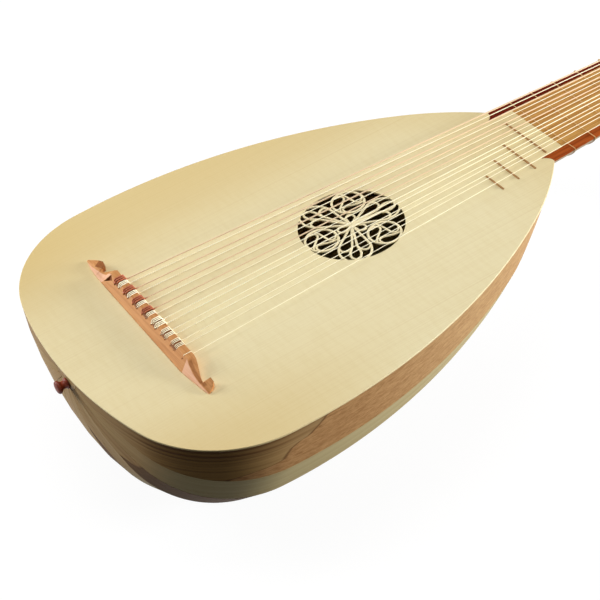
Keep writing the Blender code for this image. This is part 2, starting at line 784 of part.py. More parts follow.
def bridge_section(along, front, front_top, ridge, ridge_top, back, back_top):
    """One slice across the bridge: its front face, its top and the slope down to its back edge."""
    corners = ((front, GAP), (front, front_top), (ridge, ridge_top), (back, back_top), (back, GAP))
    return [from_bridge(along, across, height) for across, height in corners]


def bridge_end(start, way, carving):
    """Slices across a carved end, in a way of 1 to the treble side, from the tie block to the tip."""
    found = []
    for row in carving:
        past, *shape = [size / 1000.0 for size in row]
        found.append(bridge_section(start + way * past, *shape))
    return found


def make_bridge(finish, parent):
    """The bridge: a tie block bored for the strings, sloped behind, with carved ends."""
    block = (0.0, BLOCK_HEIGHT, -BLOCK_TOP_WIDTH, BLOCK_HEIGHT, -BRIDGE_DEPTH, BRIDGE_EDGE)
    sections = bridge_end(BLOCK_BASS_END, -1.0, BASS_CARVING)[::-1]
    sections += [bridge_section(end, *block) for end in (BLOCK_BASS_END, BLOCK_TREBLE_END)]
    sections += bridge_end(BLOCK_TREBLE_END, 1.0, TREBLE_CARVING)
    bridge = add_object("bridge", loft("bridge", sections), finish, parent)
    bm = bmesh.new()
    for _, diameter, middle, _ in course_strings():
        radius = (diameter / 2.0 + GAP) / math.cos(math.pi / 6.0)
        turns = [math.pi * i / 3.0 for i in range(6)]
        ends = []
        for across in (-BRIDGE_DEPTH - GAP, 2.0 * GAP):
            ring = [(radius * math.cos(t), radius * math.sin(t)) for t in turns]
            ends.append([from_bridge(middle + x, across, STRING_HOLE_HEIGHT + z) for x, z in ring])
        add_loft(bm, ends)
    boolean(bridge, guide("string_holes", bm, parent), "DIFFERENCE")


def tie_route(middle, radius):
    """A string's knot on the bridge, from its loose end to where it leaves the front of the bridge."""
    side = 2.0 * radius + TIE_SPREAD
    over = BLOCK_HEIGHT + radius + GAP
    ahead = radius + GAP
    slope = (BRIDGE_DEPTH - BLOCK_TOP_WIDTH) / (BLOCK_HEIGHT - BRIDGE_EDGE)
    exit_across = -BLOCK_TOP_WIDTH - slope * (BLOCK_HEIGHT - STRING_HOLE_HEIGHT)
    under = STRING_HOLE_HEIGHT - 2.0 * radius - TIE_SPREAD
    behind = radius + 2.0 * GAP
    corners = (
        (side, -BLOCK_TOP_WIDTH - behind - 0.0012, BLOCK_HEIGHT - 0.0006),
        (side, -BLOCK_TOP_WIDTH - GAP, over),
        (side, -GAP, over),
        (side, 0.8 * ahead, BLOCK_HEIGHT + 0.8 * ahead),
        (side, ahead, BLOCK_HEIGHT - GAP),
        (0.0, ahead + 2.0 * GAP, under),
        (-side, ahead, BLOCK_HEIGHT - GAP),
        (-side, 0.8 * ahead, BLOCK_HEIGHT + 0.8 * ahead),
        (-side, -GAP, over),
        (-side, -BLOCK_TOP_WIDTH - GAP, over),
        (-side / 2.0, exit_across - behind - 0.0002, (over + STRING_HOLE_HEIGHT) / 2.0 + 0.0006),
        (0.0, exit_across - behind - 0.0006, STRING_HOLE_HEIGHT + 0.0003),
        (0.0, exit_across - behind + 0.0006, STRING_HOLE_HEIGHT),
        (0.0, GAP, STRING_HOLE_HEIGHT),
    )
    return [from_bridge(middle + x, y, z) for x, y, z in corners]


def peg_place(number):
    """Place of a peg along the pegbox, with the pegs evenly spaced from the first to the last."""
    length = PEGBOX_LENGTH - LAST_PEG_FROM_END - FIRST_PEG_PLACE
    return FIRST_PEG_PLACE + length * number / (string_count() - 1)


def peg_side(number):
    """Which cheek a peg's head stands at: 1 for the treble side."""
    return 1.0 if number % 2 else -1.0


def peg_radius(number, across):
    """Radius of a peg's tapered shaft at a place across the pegbox."""
    to_head = pegbox_half_width(peg_place(number)) - peg_side(number) * across
    return PEG_RADIUS - PEG_TAPER * to_head


def string_route(number, diameter, bridge_middle, nut_middle):
    """A string from its knot over the nut to its peg, in the lute's frame."""
    radius = diameter / 2.0
    lift = radius + GAP
    fall = NUT_FALL / (NUT_LENGTH - NUT_FLAT)
    bend = STRING_LENGTH + NUT_FLAT
    back = STRING_LENGTH + NUT_LENGTH
    route = tie_route(bridge_middle, radius)
    route.append(Vector((nut_middle, bend, NUT_SLOT_FLOOR + lift)))
    corner = NUT_SLOT_FLOOR - fall * (NUT_LENGTH - NUT_FLAT)
    route.append(Vector((nut_middle, back + 0.2 * lift, corner + 1.1 * lift)))
    leave = Vector((nut_middle, back + 1.2 * lift, corner - 0.2 * lift))
    route.append(leave)
    local = PEGBOX_TURN.inverted() @ (leave - pegbox_origin())
    start = Vector((local.y, -local.z))
    inside = (pegbox_half_width(peg_place(number)) - CHEEK_THICKNESS) / (
        pegbox_half_width(0.0) - CHEEK_THICKNESS
    )
    across = nut_middle * STRING_DRAW_IN * inside
    ring = peg_radius(number, across) / math.cos(math.pi / POINTS_PER_TURN) + lift
    centre = Vector((-PEG_DEPTH, peg_place(number)))
    back_way = start - centre
    turn = math.atan2(back_way.x, back_way.y) - math.acos(ring / back_way.length) - math.pi
    pitch = diameter + TIE_SPREAD
    count = round(TURNS_ON_PEG * POINTS_PER_TURN)
    inwards = -1.0 if across > 0.0 else 1.0
    for i in range(count + 1):
        angle = turn - 2.0 * math.pi * i / POINTS_PER_TURN
        out = centre.x - ring * math.sin(angle)
        along = centre.y - ring * math.cos(angle)
        route.append(from_pegbox(across + inwards * pitch * i / POINTS_PER_TURN, out, along))
    return route


def tube(name, points, radius, finish, parent, closed=False, swell=None):
    """A round cord through points, as a curve with a bevel, and thicker at some of them."""
    curve = bpy.data.curves.new(name, "CURVE")
    curve.dimensions = "3D"
    curve.bevel_depth = radius
    curve.bevel_resolution = 1
    curve.use_fill_caps = not closed
    spline = curve.splines.new("POLY")
    spline.points.add(len(points) - 1)
    for i, point in enumerate(points):
        spline.points[i].co = (*point, 1.0)
        spline.points[i].radius = (swell or {}).get(i, 1.0)
    spline.use_cyclic_u = closed
    return add_object(name, curve, finish, parent)


def make_strings(gut, loaded, parent):
    for number, (name, diameter, bridge_middle, nut_middle) in enumerate(course_strings()):
        finish = loaded if diameter > 0.001 else gut
        route = string_route(number, diameter, bridge_middle, nut_middle)
        tube(name, route, diameter / 2.0, finish, parent)


def make_tied_frets(finish, parent):
    """Gut frets tied round the neck, each free to be slid a little to tune it."""
    for number in range(1, TIED_FRETS + 1):
        share = (number - 1) / (TIED_FRETS - 1)
        radius = (FIRST_FRET_DIAMETER + (LAST_FRET_DIAMETER - FIRST_FRET_DIAMETER) * share) / 2.0
        off = radius + GAP
        place = fret_place(number)
        edge = neck_half_width(place)
        below = neck_section(place, off)
        below[-1].x -= (FRET_KNOT_SWELL - 1.0) * radius
        side = edge + off
        loop = [Vector((-side, place, 0.0)), Vector((-edge - 0.7 * off, place, 0.75 * off)),
                Vector((-edge, place, off)), Vector((edge, place, off)),
                Vector((edge + 0.7 * off, place, 0.75 * off)), Vector((side, place, 0.0)), *below]
        points = [Vector((p.x, p.y - place, p.z)) for p in loop]
        knot = {len(points) - 1: FRET_KNOT_SWELL}
        name = f"tied_fret_{number}"
        fret = tube(name, points, radius, finish, parent, closed=True, swell=knot)
        fret.location = (0.0, place, 0.0)


def make_end_button(finish, parent):
    """The turned button at the tail that a strap is hooked on, with its shank in the tail block."""
    face = outline(0.0).y
    profile = (
        (face + SHANK_LENGTH, SHANK_RADIUS),
        (face - GAP, SHANK_RADIUS),
        (face - GAP, BUTTON_RADIUS * 0.80),
        (face - 0.12 * BUTTON_LENGTH, BUTTON_RADIUS * 0.80),
        (face - 0.24 * BUTTON_LENGTH, BUTTON_NECK_RADIUS),
        (face - 0.52 * BUTTON_LENGTH, BUTTON_NECK_RADIUS),
        (face - 0.68 * BUTTON_LENGTH, BUTTON_RADIUS * 0.92),
        (face - 0.82 * BUTTON_LENGTH, BUTTON_RADIUS),
        (face - 0.95 * BUTTON_LENGTH, BUTTON_RADIUS * 0.84),
        (face - BUTTON_LENGTH, BUTTON_RADIUS * 0.42),
    )
    bm = bmesh.new()
    add_turned(bm, profile, SMALL_ROUND_SIDES)
    button = add_object("end_button", mesh_from(bm, "end_button"), finish, parent)
    button.data.shade_smooth()
    button.location = (0.0, 0.0, -BUTTON_HEIGHT)


def make_pegbox(finish, parent):
    """The bent-back pegbox, hollowed from its open face and bored for the pegs."""
    sections = []
    for along in (-PEGBOX_OVERHANG, PEGBOX_LENGTH):
        wide = pegbox_half_width(max(along, 0.0))
        deep = pegbox_depth(along)
        sections.append([Vector((x, y, -along)) for x, y in
                         ((wide, 0.0), (-wide, 0.0), (-wide, -deep), (wide, -deep))])
    bm = bmesh.new()
    add_loft(bm, sections)
    up = PEGBOX_TURN.inverted() @ Vector((0.0, 0.0, 1.0))
    cut_flat(bm, (0.0, 0.0, 0.0), up)
    box = add_object("pegbox", mesh_from(bm, "pegbox"), finish, parent)
    floor_start = HOLLOW_START + HOLLOW_SLOPE_LENGTH
    floor_end = PEGBOX_LENGTH - END_THICKNESS
    slope = (pegbox_depth(floor_start) - BACK_THICKNESS) / HOLLOW_SLOPE_LENGTH
    profile = (
        (HOLLOW_START - CUT_OVERRUN / slope, CUT_OVERRUN),
        (floor_start, BACK_THICKNESS - pegbox_depth(floor_start)),
        (floor_end, BACK_THICKNESS - pegbox_depth(floor_end)),
        (floor_end, CUT_OVERRUN),
    )
    bm = bmesh.new()
    walls = []
    for side in (-1.0, 1.0):
        walls.append([Vector((side * (pegbox_half_width(along) - CHEEK_THICKNESS), out, -along))
                      for along, out in profile])
    add_loft(bm, walls)
    boolean(box, guide("pegbox_hollow", bm, parent), "DIFFERENCE")
    bm = bmesh.new()
    for number in range(string_count()):
        place = peg_place(number)
        reach = pegbox_half_width(place) + CUT_OVERRUN
        turns = [2.0 * math.pi * i / PEG_SIDES for i in range(PEG_SIDES)]
        ends = []
        for across in (-reach, reach):
            radius = peg_radius(number, across) + TURNING_CLEARANCE
            ends.append([Vector((across, radius * math.cos(t) - PEG_DEPTH, radius * math.sin(t) - place))
                         for t in turns])
        add_loft(bm, ends)
    boolean(box, guide("peg_holes", bm, parent), "DIFFERENCE")


def string_count():
    return sum(len(diameters) for diameters in COURSES)


def make_pegs(finish, parent):
    """Tapered tuning pegs through both cheeks, with flat heads that stand out on alternate sides."""
    for number in range(string_count()):
        side = peg_side(number)
        half = pegbox_half_width(peg_place(number))
        tip = -half - PEG_TIP_LENGTH
        collar = half + PEG_NECK_LENGTH
        head = collar + PEG_STEM_LENGTH
        wide = PEG_HEAD_HALF_WIDTH
        thick = PEG_HEAD_HALF_THICKNESS
        tip_radius = peg_radius(number, side * tip)
        collar_start = peg_radius(number, side * collar)
        stations = (
            (tip, tip_radius * 0.7, tip_radius * 0.7),
            (tip + PEG_TIP_ROUNDING, tip_radius, tip_radius),
            (collar - PEG_COLLAR_CHAMFER, collar_start, collar_start),
            (collar, PEG_COLLAR_RADIUS, PEG_COLLAR_RADIUS),
            (collar + PEG_COLLAR_LENGTH, PEG_COLLAR_RADIUS * 0.95, PEG_COLLAR_RADIUS * 0.95),
            (head, PEG_STEM_HALF_WIDTH, PEG_STEM_HALF_THICKNESS),
            (head + 0.25 * PEG_HEAD_LENGTH, wide * 0.80, thick),
            (head + 0.52 * PEG_HEAD_LENGTH, wide, thick * 0.95),
            (head + 0.80 * PEG_HEAD_LENGTH, wide * 0.76, thick * 0.75),
            (head + PEG_HEAD_LENGTH, wide * 0.24, thick * 0.35),
        )
        turns = [2.0 * math.pi * i / PEG_SIDES for i in range(PEG_SIDES)]
        sections = [
            [Vector((side * x, b * math.cos(t), a * math.sin(t))) for t in turns] for x, a, b in stations
        ]
        name = f"peg_{number + 1}"
        peg = add_object(name, loft(name, sections), finish, parent)
        peg.data.shade_smooth()
        peg.data.set_sharp_from_angle(angle=math.radians(35.0))
        peg.location = (0.0, -PEG_DEPTH, -peg_place(number))


def rest_tilt():
    """How far the neck end rises when the lute lies on its back on the bowl and the pegbox's end."""
    foot = from_pegbox(0.0, -pegbox_depth(PEGBOX_LENGTH), PEGBOX_LENGTH)
    middle = SEAMS[RIB_COUNT // 2]
    slopes = []
    for heading in headings(PATCH_HEADING):
        point = bowl_point(heading, middle)
        slopes.append((foot.z - point.z) / (foot.y - point.y))
    return -math.atan(max(slopes))


def lay_down(rest):
    """Turns the lute onto its back and puts the middle of its footprint at the origin."""
    rest.rotation_euler = (rest_tilt(), 0.0, 0.0)
    bpy.context.view_layer.update()
    graph = bpy.context.evaluated_depsgraph_get()
    low = Vector((math.inf,) * 3)
    high = Vector((-math.inf,) * 3)
    for thing in bpy.context.scene.objects:
        if thing.type == "EMPTY" or thing.hide_render:
            continue
        seen = thing.evaluated_get(graph)
        mesh = seen.to_mesh()
        for vertex in mesh.vertices:
            point = seen.matrix_world @ vertex.co
            for axis in range(3):
                low[axis] = min(low[axis], point[axis])
                high[axis] = max(high[axis], point[axis])
        seen.to_mesh_clear()
    rest.location = (-(low.x + high.x) / 2.0, -(low.y + high.y) / 2.0, -low.z)


def main():
    for thing in list(bpy.data.objects):
        bpy.data.objects.remove(thing)
    spruce = material("spruce", (0.80, 0.66, 0.42), 0.45)
    walnut = material("walnut", (0.34, 0.20, 0.09), 0.4)
    maple = material("maple", (0.55, 0.48, 0.33), 0.4)
    block_wood = material("block_wood", (0.62, 0.48, 0.30), 0.6)
    neck_wood = material("neck_wood", (0.50, 0.42, 0.30), 0.4)
    board_wood = material("fingerboard_wood", (0.48, 0.28, 0.12), 0.45)
    red_wood = material("edge_wood", (0.30, 0.08, 0.02), 0.4)
    pear = material("pear", (0.55, 0.27, 0.11), 0.45)
    peg_wood = material("peg_wood", (0.16, 0.04, 0.02), 0.35)
    bone = material("bone", (0.80, 0.74, 0.58), 0.35)
    gut = material("gut", (0.78, 0.66, 0.42), 0.4)
    loaded = material("loaded_gut", (0.42, 0.18, 0.09), 0.4)
    rest = bpy.data.objects.new("lute_at_rest", None)
    bpy.context.scene.collection.objects.link(rest)
    bent = bpy.data.objects.new("pegbox_frame", None)
    bpy.context.scene.collection.objects.link(bent)
    bent.parent = rest
    bent.location = pegbox_origin()
    bent.rotation_euler = (PEGBOX_TILT, 0.0, 0.0)
    make_soundboard(spruce, rest)
    make_ribs((walnut, maple), rest)
    make_tail_block(block_wood, rest)
    make_neck_block(block_wood, rest)
    make_neck(neck_wood, rest)
    make_fingerboard(board_wood, rest)
    make_edge_strips(red_wood, rest)
    make_nut(bone, rest)
    make_bridge(pear, rest)
    make_strings(gut, loaded, rest)
    make_tied_frets(gut, rest)
    make_end_button(peg_wood, rest)
    make_pegbox(neck_wood, bent)
    make_pegs(peg_wood, bent)
    lay_down(rest)


main()
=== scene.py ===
import json
import math

import bmesh
import bpy
from mathutils import Matrix, Vector


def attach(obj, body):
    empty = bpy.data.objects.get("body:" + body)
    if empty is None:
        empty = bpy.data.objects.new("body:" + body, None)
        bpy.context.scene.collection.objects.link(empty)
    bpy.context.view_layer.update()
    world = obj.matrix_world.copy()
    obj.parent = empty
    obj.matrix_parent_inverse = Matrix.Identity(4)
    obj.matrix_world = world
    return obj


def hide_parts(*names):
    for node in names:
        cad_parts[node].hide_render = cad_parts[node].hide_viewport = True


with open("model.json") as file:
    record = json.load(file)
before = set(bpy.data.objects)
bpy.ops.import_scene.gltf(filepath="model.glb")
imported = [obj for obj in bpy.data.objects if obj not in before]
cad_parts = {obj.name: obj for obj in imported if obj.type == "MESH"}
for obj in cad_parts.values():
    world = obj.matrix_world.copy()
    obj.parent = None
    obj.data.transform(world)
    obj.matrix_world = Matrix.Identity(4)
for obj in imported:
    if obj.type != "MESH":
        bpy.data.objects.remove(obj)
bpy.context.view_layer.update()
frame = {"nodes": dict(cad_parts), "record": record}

# How the lute lies. In its own frame the soundboard's top is at z = 0, the bridge at y = 0, the neck along +Y
BOARD_MOUNT_PLACE = 0.110
mount = next(m for m in frame["record"]["mounts"] if m["name"] == "top_face")
TILT = math.atan2(-mount["axis"][1], mount["axis"][2])
REST = (Matrix.Translation(mount["pos_m"]) @ Matrix.Rotation(TILT, 4, "X")
        @ Matrix.Translation((0.0, -BOARD_MOUNT_PLACE, 0.0)))
FROM_REST = REST.inverted()
SLOT_OF = {part["node"]: part["material_slot"] for part in frame["record"]["subparts"]}

# Body, in metres, as in the part's source
TAIL_DISTANCE = 0.0864
OUTLINE_RADII = (0.361, 0.0956, 0.4995)
OUTLINE_TURNS = tuple(math.radians(turn) for turn in (14.3, 72.4, 34.4))
SHOULDER_RADIUS = 0.267
SHOULDER_START = 0.258
NECK_HALF_WIDTH = 0.044
RIB_COUNT = 11
OUTER_RIB_TURN = math.radians(17.0)
RIB_THICKNESS = 0.0016
RIB_SEAM = 0.00012
DEPTH_RATIO = 0.905
NECK_DEPTH_RATIO = 0.55
NECK_ROUNDNESS = 1.6
TAIL_PATCH_RADIUS = 0.015
RIB_STEPS = (150, 6)
BOARD_THICKNESS = 0.0016
BOARD_STEPS = 150
TONGUE_LENGTH = 0.017
SCOOP_RADIUS = 0.0096
SCOOP_STEPS = 8
SCOOP_TOE = 0.001
EDGE_STRIP_WIDTH = 0.0093
EDGE_STRIP_WIDTH_AT_NUT = 0.0066
GAP = 0.0003

# Neck and nut
STRING_LENGTH = 0.600
NUT_HALF_WIDTH = 0.034
NUT_DEPTH = 0.0195
NECK_SIDES = 36
NECK_STEPS = 8
NUT_LENGTH = 0.0056
NUT_FLAT = 0.0028
NUT_FALL = 0.0017
NUT_UNDERCUT = 0.0010
NUT_SLOT_FLOOR = 0.0015

# Rose
ROSE_PLACE = 0.1803
ROSE_RADIUS = 0.0437
ROSE_SIDES = 128
STRAP_WIDTH = 0.0019
FINE_STRAP_WIDTH = 0.0017
STRAP_SLOPE = 0.00028
STRAP_SIDE = 0.00045
MEDALLION_PLACE = -0.0293
MEDALLION_RADIUS = 0.0135
MEDALLION_STRAP_WIDTH = 0.0020
DROP_PLACE = -0.0092
DROP_RADIUS = 0.0037

# Strings: diameters of each course from the treble side, and their places at the bridge and the nut
COURSES = ((0.00048,), (0.00056, 0.00056), (0.00070, 0.00070), (0.00088, 0.00088),
           (0.00062, 0.00106), (0.00070, 0.00118), (0.00076, 0.00126), (0.00082, 0.00134))
BRIDGE_FIRST_COURSE = 0.0508
BRIDGE_COURSE_PITCH = 0.0149
BRIDGE_PAIR_SPACING = 0.0060
NUT_FIRST_COURSE = 0.0284
NUT_COURSE_PITCH = 0.0078
NUT_PAIR_SPACING = 0.0036
LOADED_FROM = 0.001
PEG_TURNS = 3
PEG_TURN_POINTS = 14
STRING_DRAW_IN = 0.8
STRING_SEAT = 0.0001

# Bridge
BRIDGE_SLANT = math.radians(-2.2)
BRIDGE_PLACE = -0.0016
BLOCK_HEIGHT = 0.0090
BLOCK_TOP_WIDTH = 0.0060
STRING_HOLE_HEIGHT = 0.0066

# Pegbox and pegs
PEGBOX_TILT = math.radians(90.0 - 82.0)
PEGBOX_LENGTH = 0.200
PEGBOX_END_HALF_WIDTH = 0.0215
CHEEK_THICKNESS = 0.0042
FIRST_PEG_PLACE = 0.025
PEG_SPACING = 0.0115
PEG_DEPTH = 0.0125
PEG_RADIUS = 0.0040
PEG_TAPER = 1.0 / 60.0
PEG_SIDES = 28
PEG_TIP = 0.0022
PEG_COLLAR = 0.0050
PEG_NECK = 0.0035
PEG_HEAD_LENGTH = 0.0200
PEG_HEAD_HALF_WIDTH = 0.0097
PEG_HEAD_HALF_THICKNESS = 0.0037

# Frets: the tied ones, and the short ones on the soundboard with their ends across it
TIED_FRETS = 8
FRET_DIAMETERS = (0.00104, 0.00074)
FRET_SLIMMER = 0.00004
FRET_CLEARANCE = 0.00013
FRET_KNOT_SWELL = 1.9
BODY_FRETS = {9: (-0.0225, 0.0318), 10: (-0.0010, 0.0425), 11: (0.0105, 0.0441), 12: (0.0232, 0.0462)}
BODY_FRET_WIDTH = 0.0017
BODY_FRET_HEIGHT = 0.0008

# End button
BUTTON_HEIGHT = 0.0095
BUTTON_RADIUS = 0.0054
BUTTON_LENGTH = 0.0098
BUTTON_GAP = 0.0002
SHANK_LENGTH = 0.013
SHANK_RADIUS = 0.0021

# Camera in the lute's frame, matched to the photograph
CAMERA_PLACE = (1.01463, -0.45097, 0.98758)
CAMERA_AZIMUTH = math.radians(60.4606)
CAMERA_ELEVATION = math.radians(41.6335)
CAMERA_ROLL = math.radians(-7.45)
CAMERA_LENS = 115.3
SENSOR_WIDTH = 36.0

# Lamps: place, size and power
LAMP_TARGET = (0.0, -0.05, 0.1)
LAMPS = {
    "key": ((1.50, 2.00, 0.74), 0.8, 95.0),
    "overhead": ((-0.35, -0.35, 2.6), 1.6, 35.0),
    "tail": ((-1.50, -1.35, 0.62), 1.0, 34.0),
}
SOFT_WORLD = 0.045
FLOOR_GLOW = 0.93
FLOOR_GREY = 0.10


class Wire:
    """A shader socket. Sums on it add Math nodes, and node() adds any other kind of node."""

    def __init__(self, tree, socket=None):
        self.tree = tree
        self.socket = socket

    def node(self, kind, sockets=None, out=0, stops=None, **settings):
        made = self.tree.nodes.new("ShaderNode" + kind)
        for name, value in settings.items():
            setattr(made, name, value)
        if stops:
            elements = made.color_ramp.elements
            while len(elements) < len(stops):
                elements.new(1.0)
            for element, (place, colour) in zip(elements, stops):
                element.position = place
                element.color = colour if isinstance(colour, tuple) else (colour, colour, colour, 1.0)
        for name, value in (sockets or {}).items():
            if isinstance(value, Wire):
                self.tree.links.new(value.socket, made.inputs[name])
            else:
                made.inputs[name].default_value = value
        return Wire(self.tree, made.outputs[out] if made.outputs else None)

    def sum(self, operation, *others):
        return self.node("Math", dict(enumerate((self, *others))), operation=operation)

    def __add__(self, other):
        return self.sum("ADD", other)

    def __sub__(self, other):
        return self.sum("SUBTRACT", other)

    def __mul__(self, other):
        return self.sum("MULTIPLY", other)

    def __rsub__(self, other):
        return self.node("Math", {0: other, 1: self}, operation="SUBTRACT")

    __radd__ = __add__
    __rmul__ = __mul__

    def step(self, low, high):
        """0 below a low value, 1 above a high one, and smooth between them."""
        return self.node("MapRange", {"Value": self, "From Min": low, "From Max": high},
                         interpolation_type="SMOOTHSTEP")

    def blend(self, first, second):
        """From the first colour to the second as this value goes from 0 to 1."""
        return self.node("Mix", {0: self, 6: first, 7: second}, out=2, data_type="RGBA")

    def noise(self, scales, detail=3.0, rough=0.5, shift=0.0):
        """Noise over these coordinates, finer where a scale is larger."""
        moved = self.node("Mapping", {"Vector": self, "Scale": scales,
                                      "Location": (shift, shift * 0.7, shift * 1.3)})
        return self.node("TexNoise", {"Vector": moved, "Scale": 1.0, "Detail": detail, "Roughness": rough})

    def parts(self):
        """The three numbers of these coordinates."""
        made = self.node("SeparateXYZ", {"Vector": self})
        return [Wire(self.tree, made.socket.node.outputs[i]) for i in range(3)]


def srgb(red, green, blue):
    """A colour from the 0 to 255 values that a picture shows."""
    def linear(value):
        value /= 255.0
        return value / 12.92 if value <= 0.04045 else ((value + 0.055) / 1.055) ** 2.4
    return (linear(red), linear(green), linear(blue), 1.0)


def finish(name, make, coat=0.0, coat_roughness=0.2, specular=0.06):
    """A material whose look is made by a function that is given a wire and returns sockets to fill.

    "Height" stands for a bump, with its strength and its depth in metres.
    """
    material = bpy.data.materials.new(name)
    material.use_nodes = True
    shader = material.node_tree.nodes["Principled BSDF"]
    shader.inputs["Coat Weight"].default_value = coat
    shader.inputs["Coat Roughness"].default_value = coat_roughness
    shader.inputs["Specular IOR Level"].default_value = specular
    wire = Wire(material.node_tree)
    height = None
    for socket, value in make(wire).items():
        if socket == "Height":
            height, strength, distance = value
        elif isinstance(value, Wire):
            material.node_tree.links.new(value.socket, shader.inputs[socket])
        else:
            shader.inputs[socket].default_value = value
    if height:
        bump = wire.node("Bump", {"Height": height, "Strength": strength, "Distance": distance})
        material.node_tree.links.new(bump.socket, shader.inputs["Normal"])
    return material


def lute_place(wire):
    """Object coordinates turned into the lute's own frame."""
    here = wire.node("TexCoord", out=3)
    return here.node("Mapping", {"Vector": here, "Location": FROM_REST.translation,
                                 "Rotation": (-TILT, 0.0, 0.0)})


def rib_place(wire):
    """Along a rib and across it, in metres, from its own UV map."""
    return wire.node("UVMap", uv_map="rib")


def spruce(wire):
    """Spruce with close lines along the board, more golden towards the rim, the neck and the tail."""
    place = lute_place(wire)
    x, y, _ = place.parts()
    rings = place.noise((760.0, 0.9, 40.0), detail=2.0, rough=0.6)
    fine = place.noise((2100.0, 7.0, 60.0), detail=2.0, shift=3.0)
    silk = place.noise((50.0, 260.0, 60.0), detail=2.0, shift=7.0)
    wide = place.noise((22.0, 0.7, 3.0), detail=2.0, shift=11.0)
    line = rings.step(0.42, 0.80) * 0.42 + fine.step(0.35, 0.85) * 0.26 + wide.step(0.3, 0.8) * 0.20
    outer = (x * -1.0).step(0.03, 0.15) * 0.85 + x.step(0.05, 0.155) * (1.0 - y.step(0.0, 0.16)) * 0.6
    ends = y.step(0.26, 0.37) * 0.45
    tail = (y * -1.0).step(-0.06, 0.085) * 0.22
    golden = (outer + ends + tail).sum("MINIMUM", 1.0)
    pale = silk.step(0.35, 0.75).blend(srgb(241, 229, 187), srgb(238, 225, 181))
    warm = golden.blend(pale, srgb(222, 197, 138))
    return {
        "Base Color": (line * 0.38).blend(warm, srgb(202, 170, 110)),
        "Roughness": fine * 0.10 + 0.42,
        "Height": (rings + fine * 0.5, 0.12, 0.0002),
    }


def streaked(pale, dark, tail_pale, tail_dark, turns_at, fleck=0.5, pull=1.0):
    """Wood that runs along a rib, with streaks across it, and other tones towards the tail."""
    def make(wire):
        place = rib_place(wire)
        u, _, _ = place.parts()
        streak = place.noise((2.4 * pull, 150.0, 1.0), detail=4.0, rough=0.6)
        fine = place.noise((14.0, 900.0, 1.0), detail=3.0, rough=0.6, shift=5.0)
        pores = place.noise((160.0, 2200.0, 1.0), detail=1.0, shift=9.0)
        amount = (streak.step(0.35, 0.72) * 0.55 + fine.step(0.3, 0.8) * 0.30
                  + pores.step(0.62, 0.75) * fleck * 0.35)
        near_tail = 1.0 - (u + (streak - 0.5) * 0.05).step(turns_at - 0.025, turns_at + 0.025)
        return {
            "Base Color": near_tail.blend(amount.blend(pale, dark), amount.blend(tail_pale, tail_dark)),
            "Roughness": fine * 0.12 + 0.40,
            "Height": (fine + pores, 0.10, 0.0002),
        }
    return make


# Dark streaks along the rim of a sapwood rib: how far in, half-width where full and where gone, and strength
RIM_STREAKS = ((0.0020, 0.0008, 0.0050, 0.80), (0.0094, 0.0003, 0.0019, 0.70), (0.0142, 0.0003, 0.0015, 0.55))

# A colour ramp covers 50 mm across a rib
RAMPS_PER_METRE = 20.0


def sapwood_rib(lobes, seam_line, rim_streaks=1.0, heart=(srgb(196, 152, 102), srgb(142, 96, 56))):
    """Walnut with pale sapwood towards the tail and brown heartwood past a lobed edge.

    The edge is given as stops across the rib, in metres, with how far along the rib it lies there.
    """
    def make(wire):
        place = rib_place(wire)
        u, v, _ = place.parts()
        across = v.sum("FRACT")
        wander = place.noise((26.0, 60.0, 1.0), detail=3.0, shift=2.0)
        edge = across.node("ValToRGB", {"Fac": across * RAMPS_PER_METRE},
                           stops=[(at * RAMPS_PER_METRE, reach) for at, reach in lobes])
        beyond = u + (wander - 0.5) * 0.012 - edge
        rim = across.sum("MINIMUM", 0.06)
        band = place.noise((1.6, 170.0, 1.0), detail=3.0, rough=0.65, shift=4.0)
        waver = (place.noise((5.0, 4.0, 1.0), detail=2.0, shift=8.0) - 0.5) * 0.006
        first, second, third = ((1.0 - (rim + waver - away).sum("ABSOLUTE").step(full, gone)) * strength
                                for away, full, gone, strength in RIM_STREAKS)
        # The hip, where the rim streaks are stronger and the sapwood carries painted shade
        hip = u.step(0.06, 0.12) - u.step(0.15, 0.25)
        lines = (first + second + third) * (hip * 0.75 + 0.25) * rim_streaks
        fine = place.noise((12.0, 800.0, 1.0), detail=3.0, rough=0.6, shift=5.0)
        pale = (band.step(0.35, 0.75) * 0.6).blend(srgb(188, 156, 110), srgb(154, 116, 70))
        olive = (band.step(0.38, 0.66) * 0.9).blend(srgb(174, 134, 74), srgb(122, 82, 38))
        # At the hip the pale sapwood turns darker and more olive: partly the wood's own tone, partly painted
        # shade
        pale = (hip * 0.8).blend(pale, olive)
        sap = lines.blend(pale, srgb(74, 40, 14))
        pores = place.noise((130.0, 1300.0, 1.0), detail=2.0, shift=9.0)
        curl = place.noise((120.0, 460.0, 1.0), detail=4.0, rough=0.8, shift=12.0)
        brown = (curl.step(0.3, 0.7) * 0.65 + pores.step(0.55, 0.7) * 0.4).blend(*heart)
        paler_heart = (curl.step(0.3, 0.7) * 0.7).blend(srgb(212, 178, 130), srgb(182, 142, 96))
        # Heartwood paler and less streaked towards the neck
        brown = (u.step(0.24, 0.42) * 0.55).blend(brown, paler_heart)
        line = 1.0 - beyond.sum("ABSOLUTE").step(0.0, 0.0032)
        both = beyond.step(-0.0006, 0.0012).blend(sap, brown)
        return {
            "Base Color": (line * seam_line + (fine.step(0.3, 0.8) * 0.15)).blend(both, srgb(88, 54, 28)),
            "Roughness": fine * 0.12 + 0.40,
            "Height": (fine + pores, 0.12, 0.0002),
        }
    return make


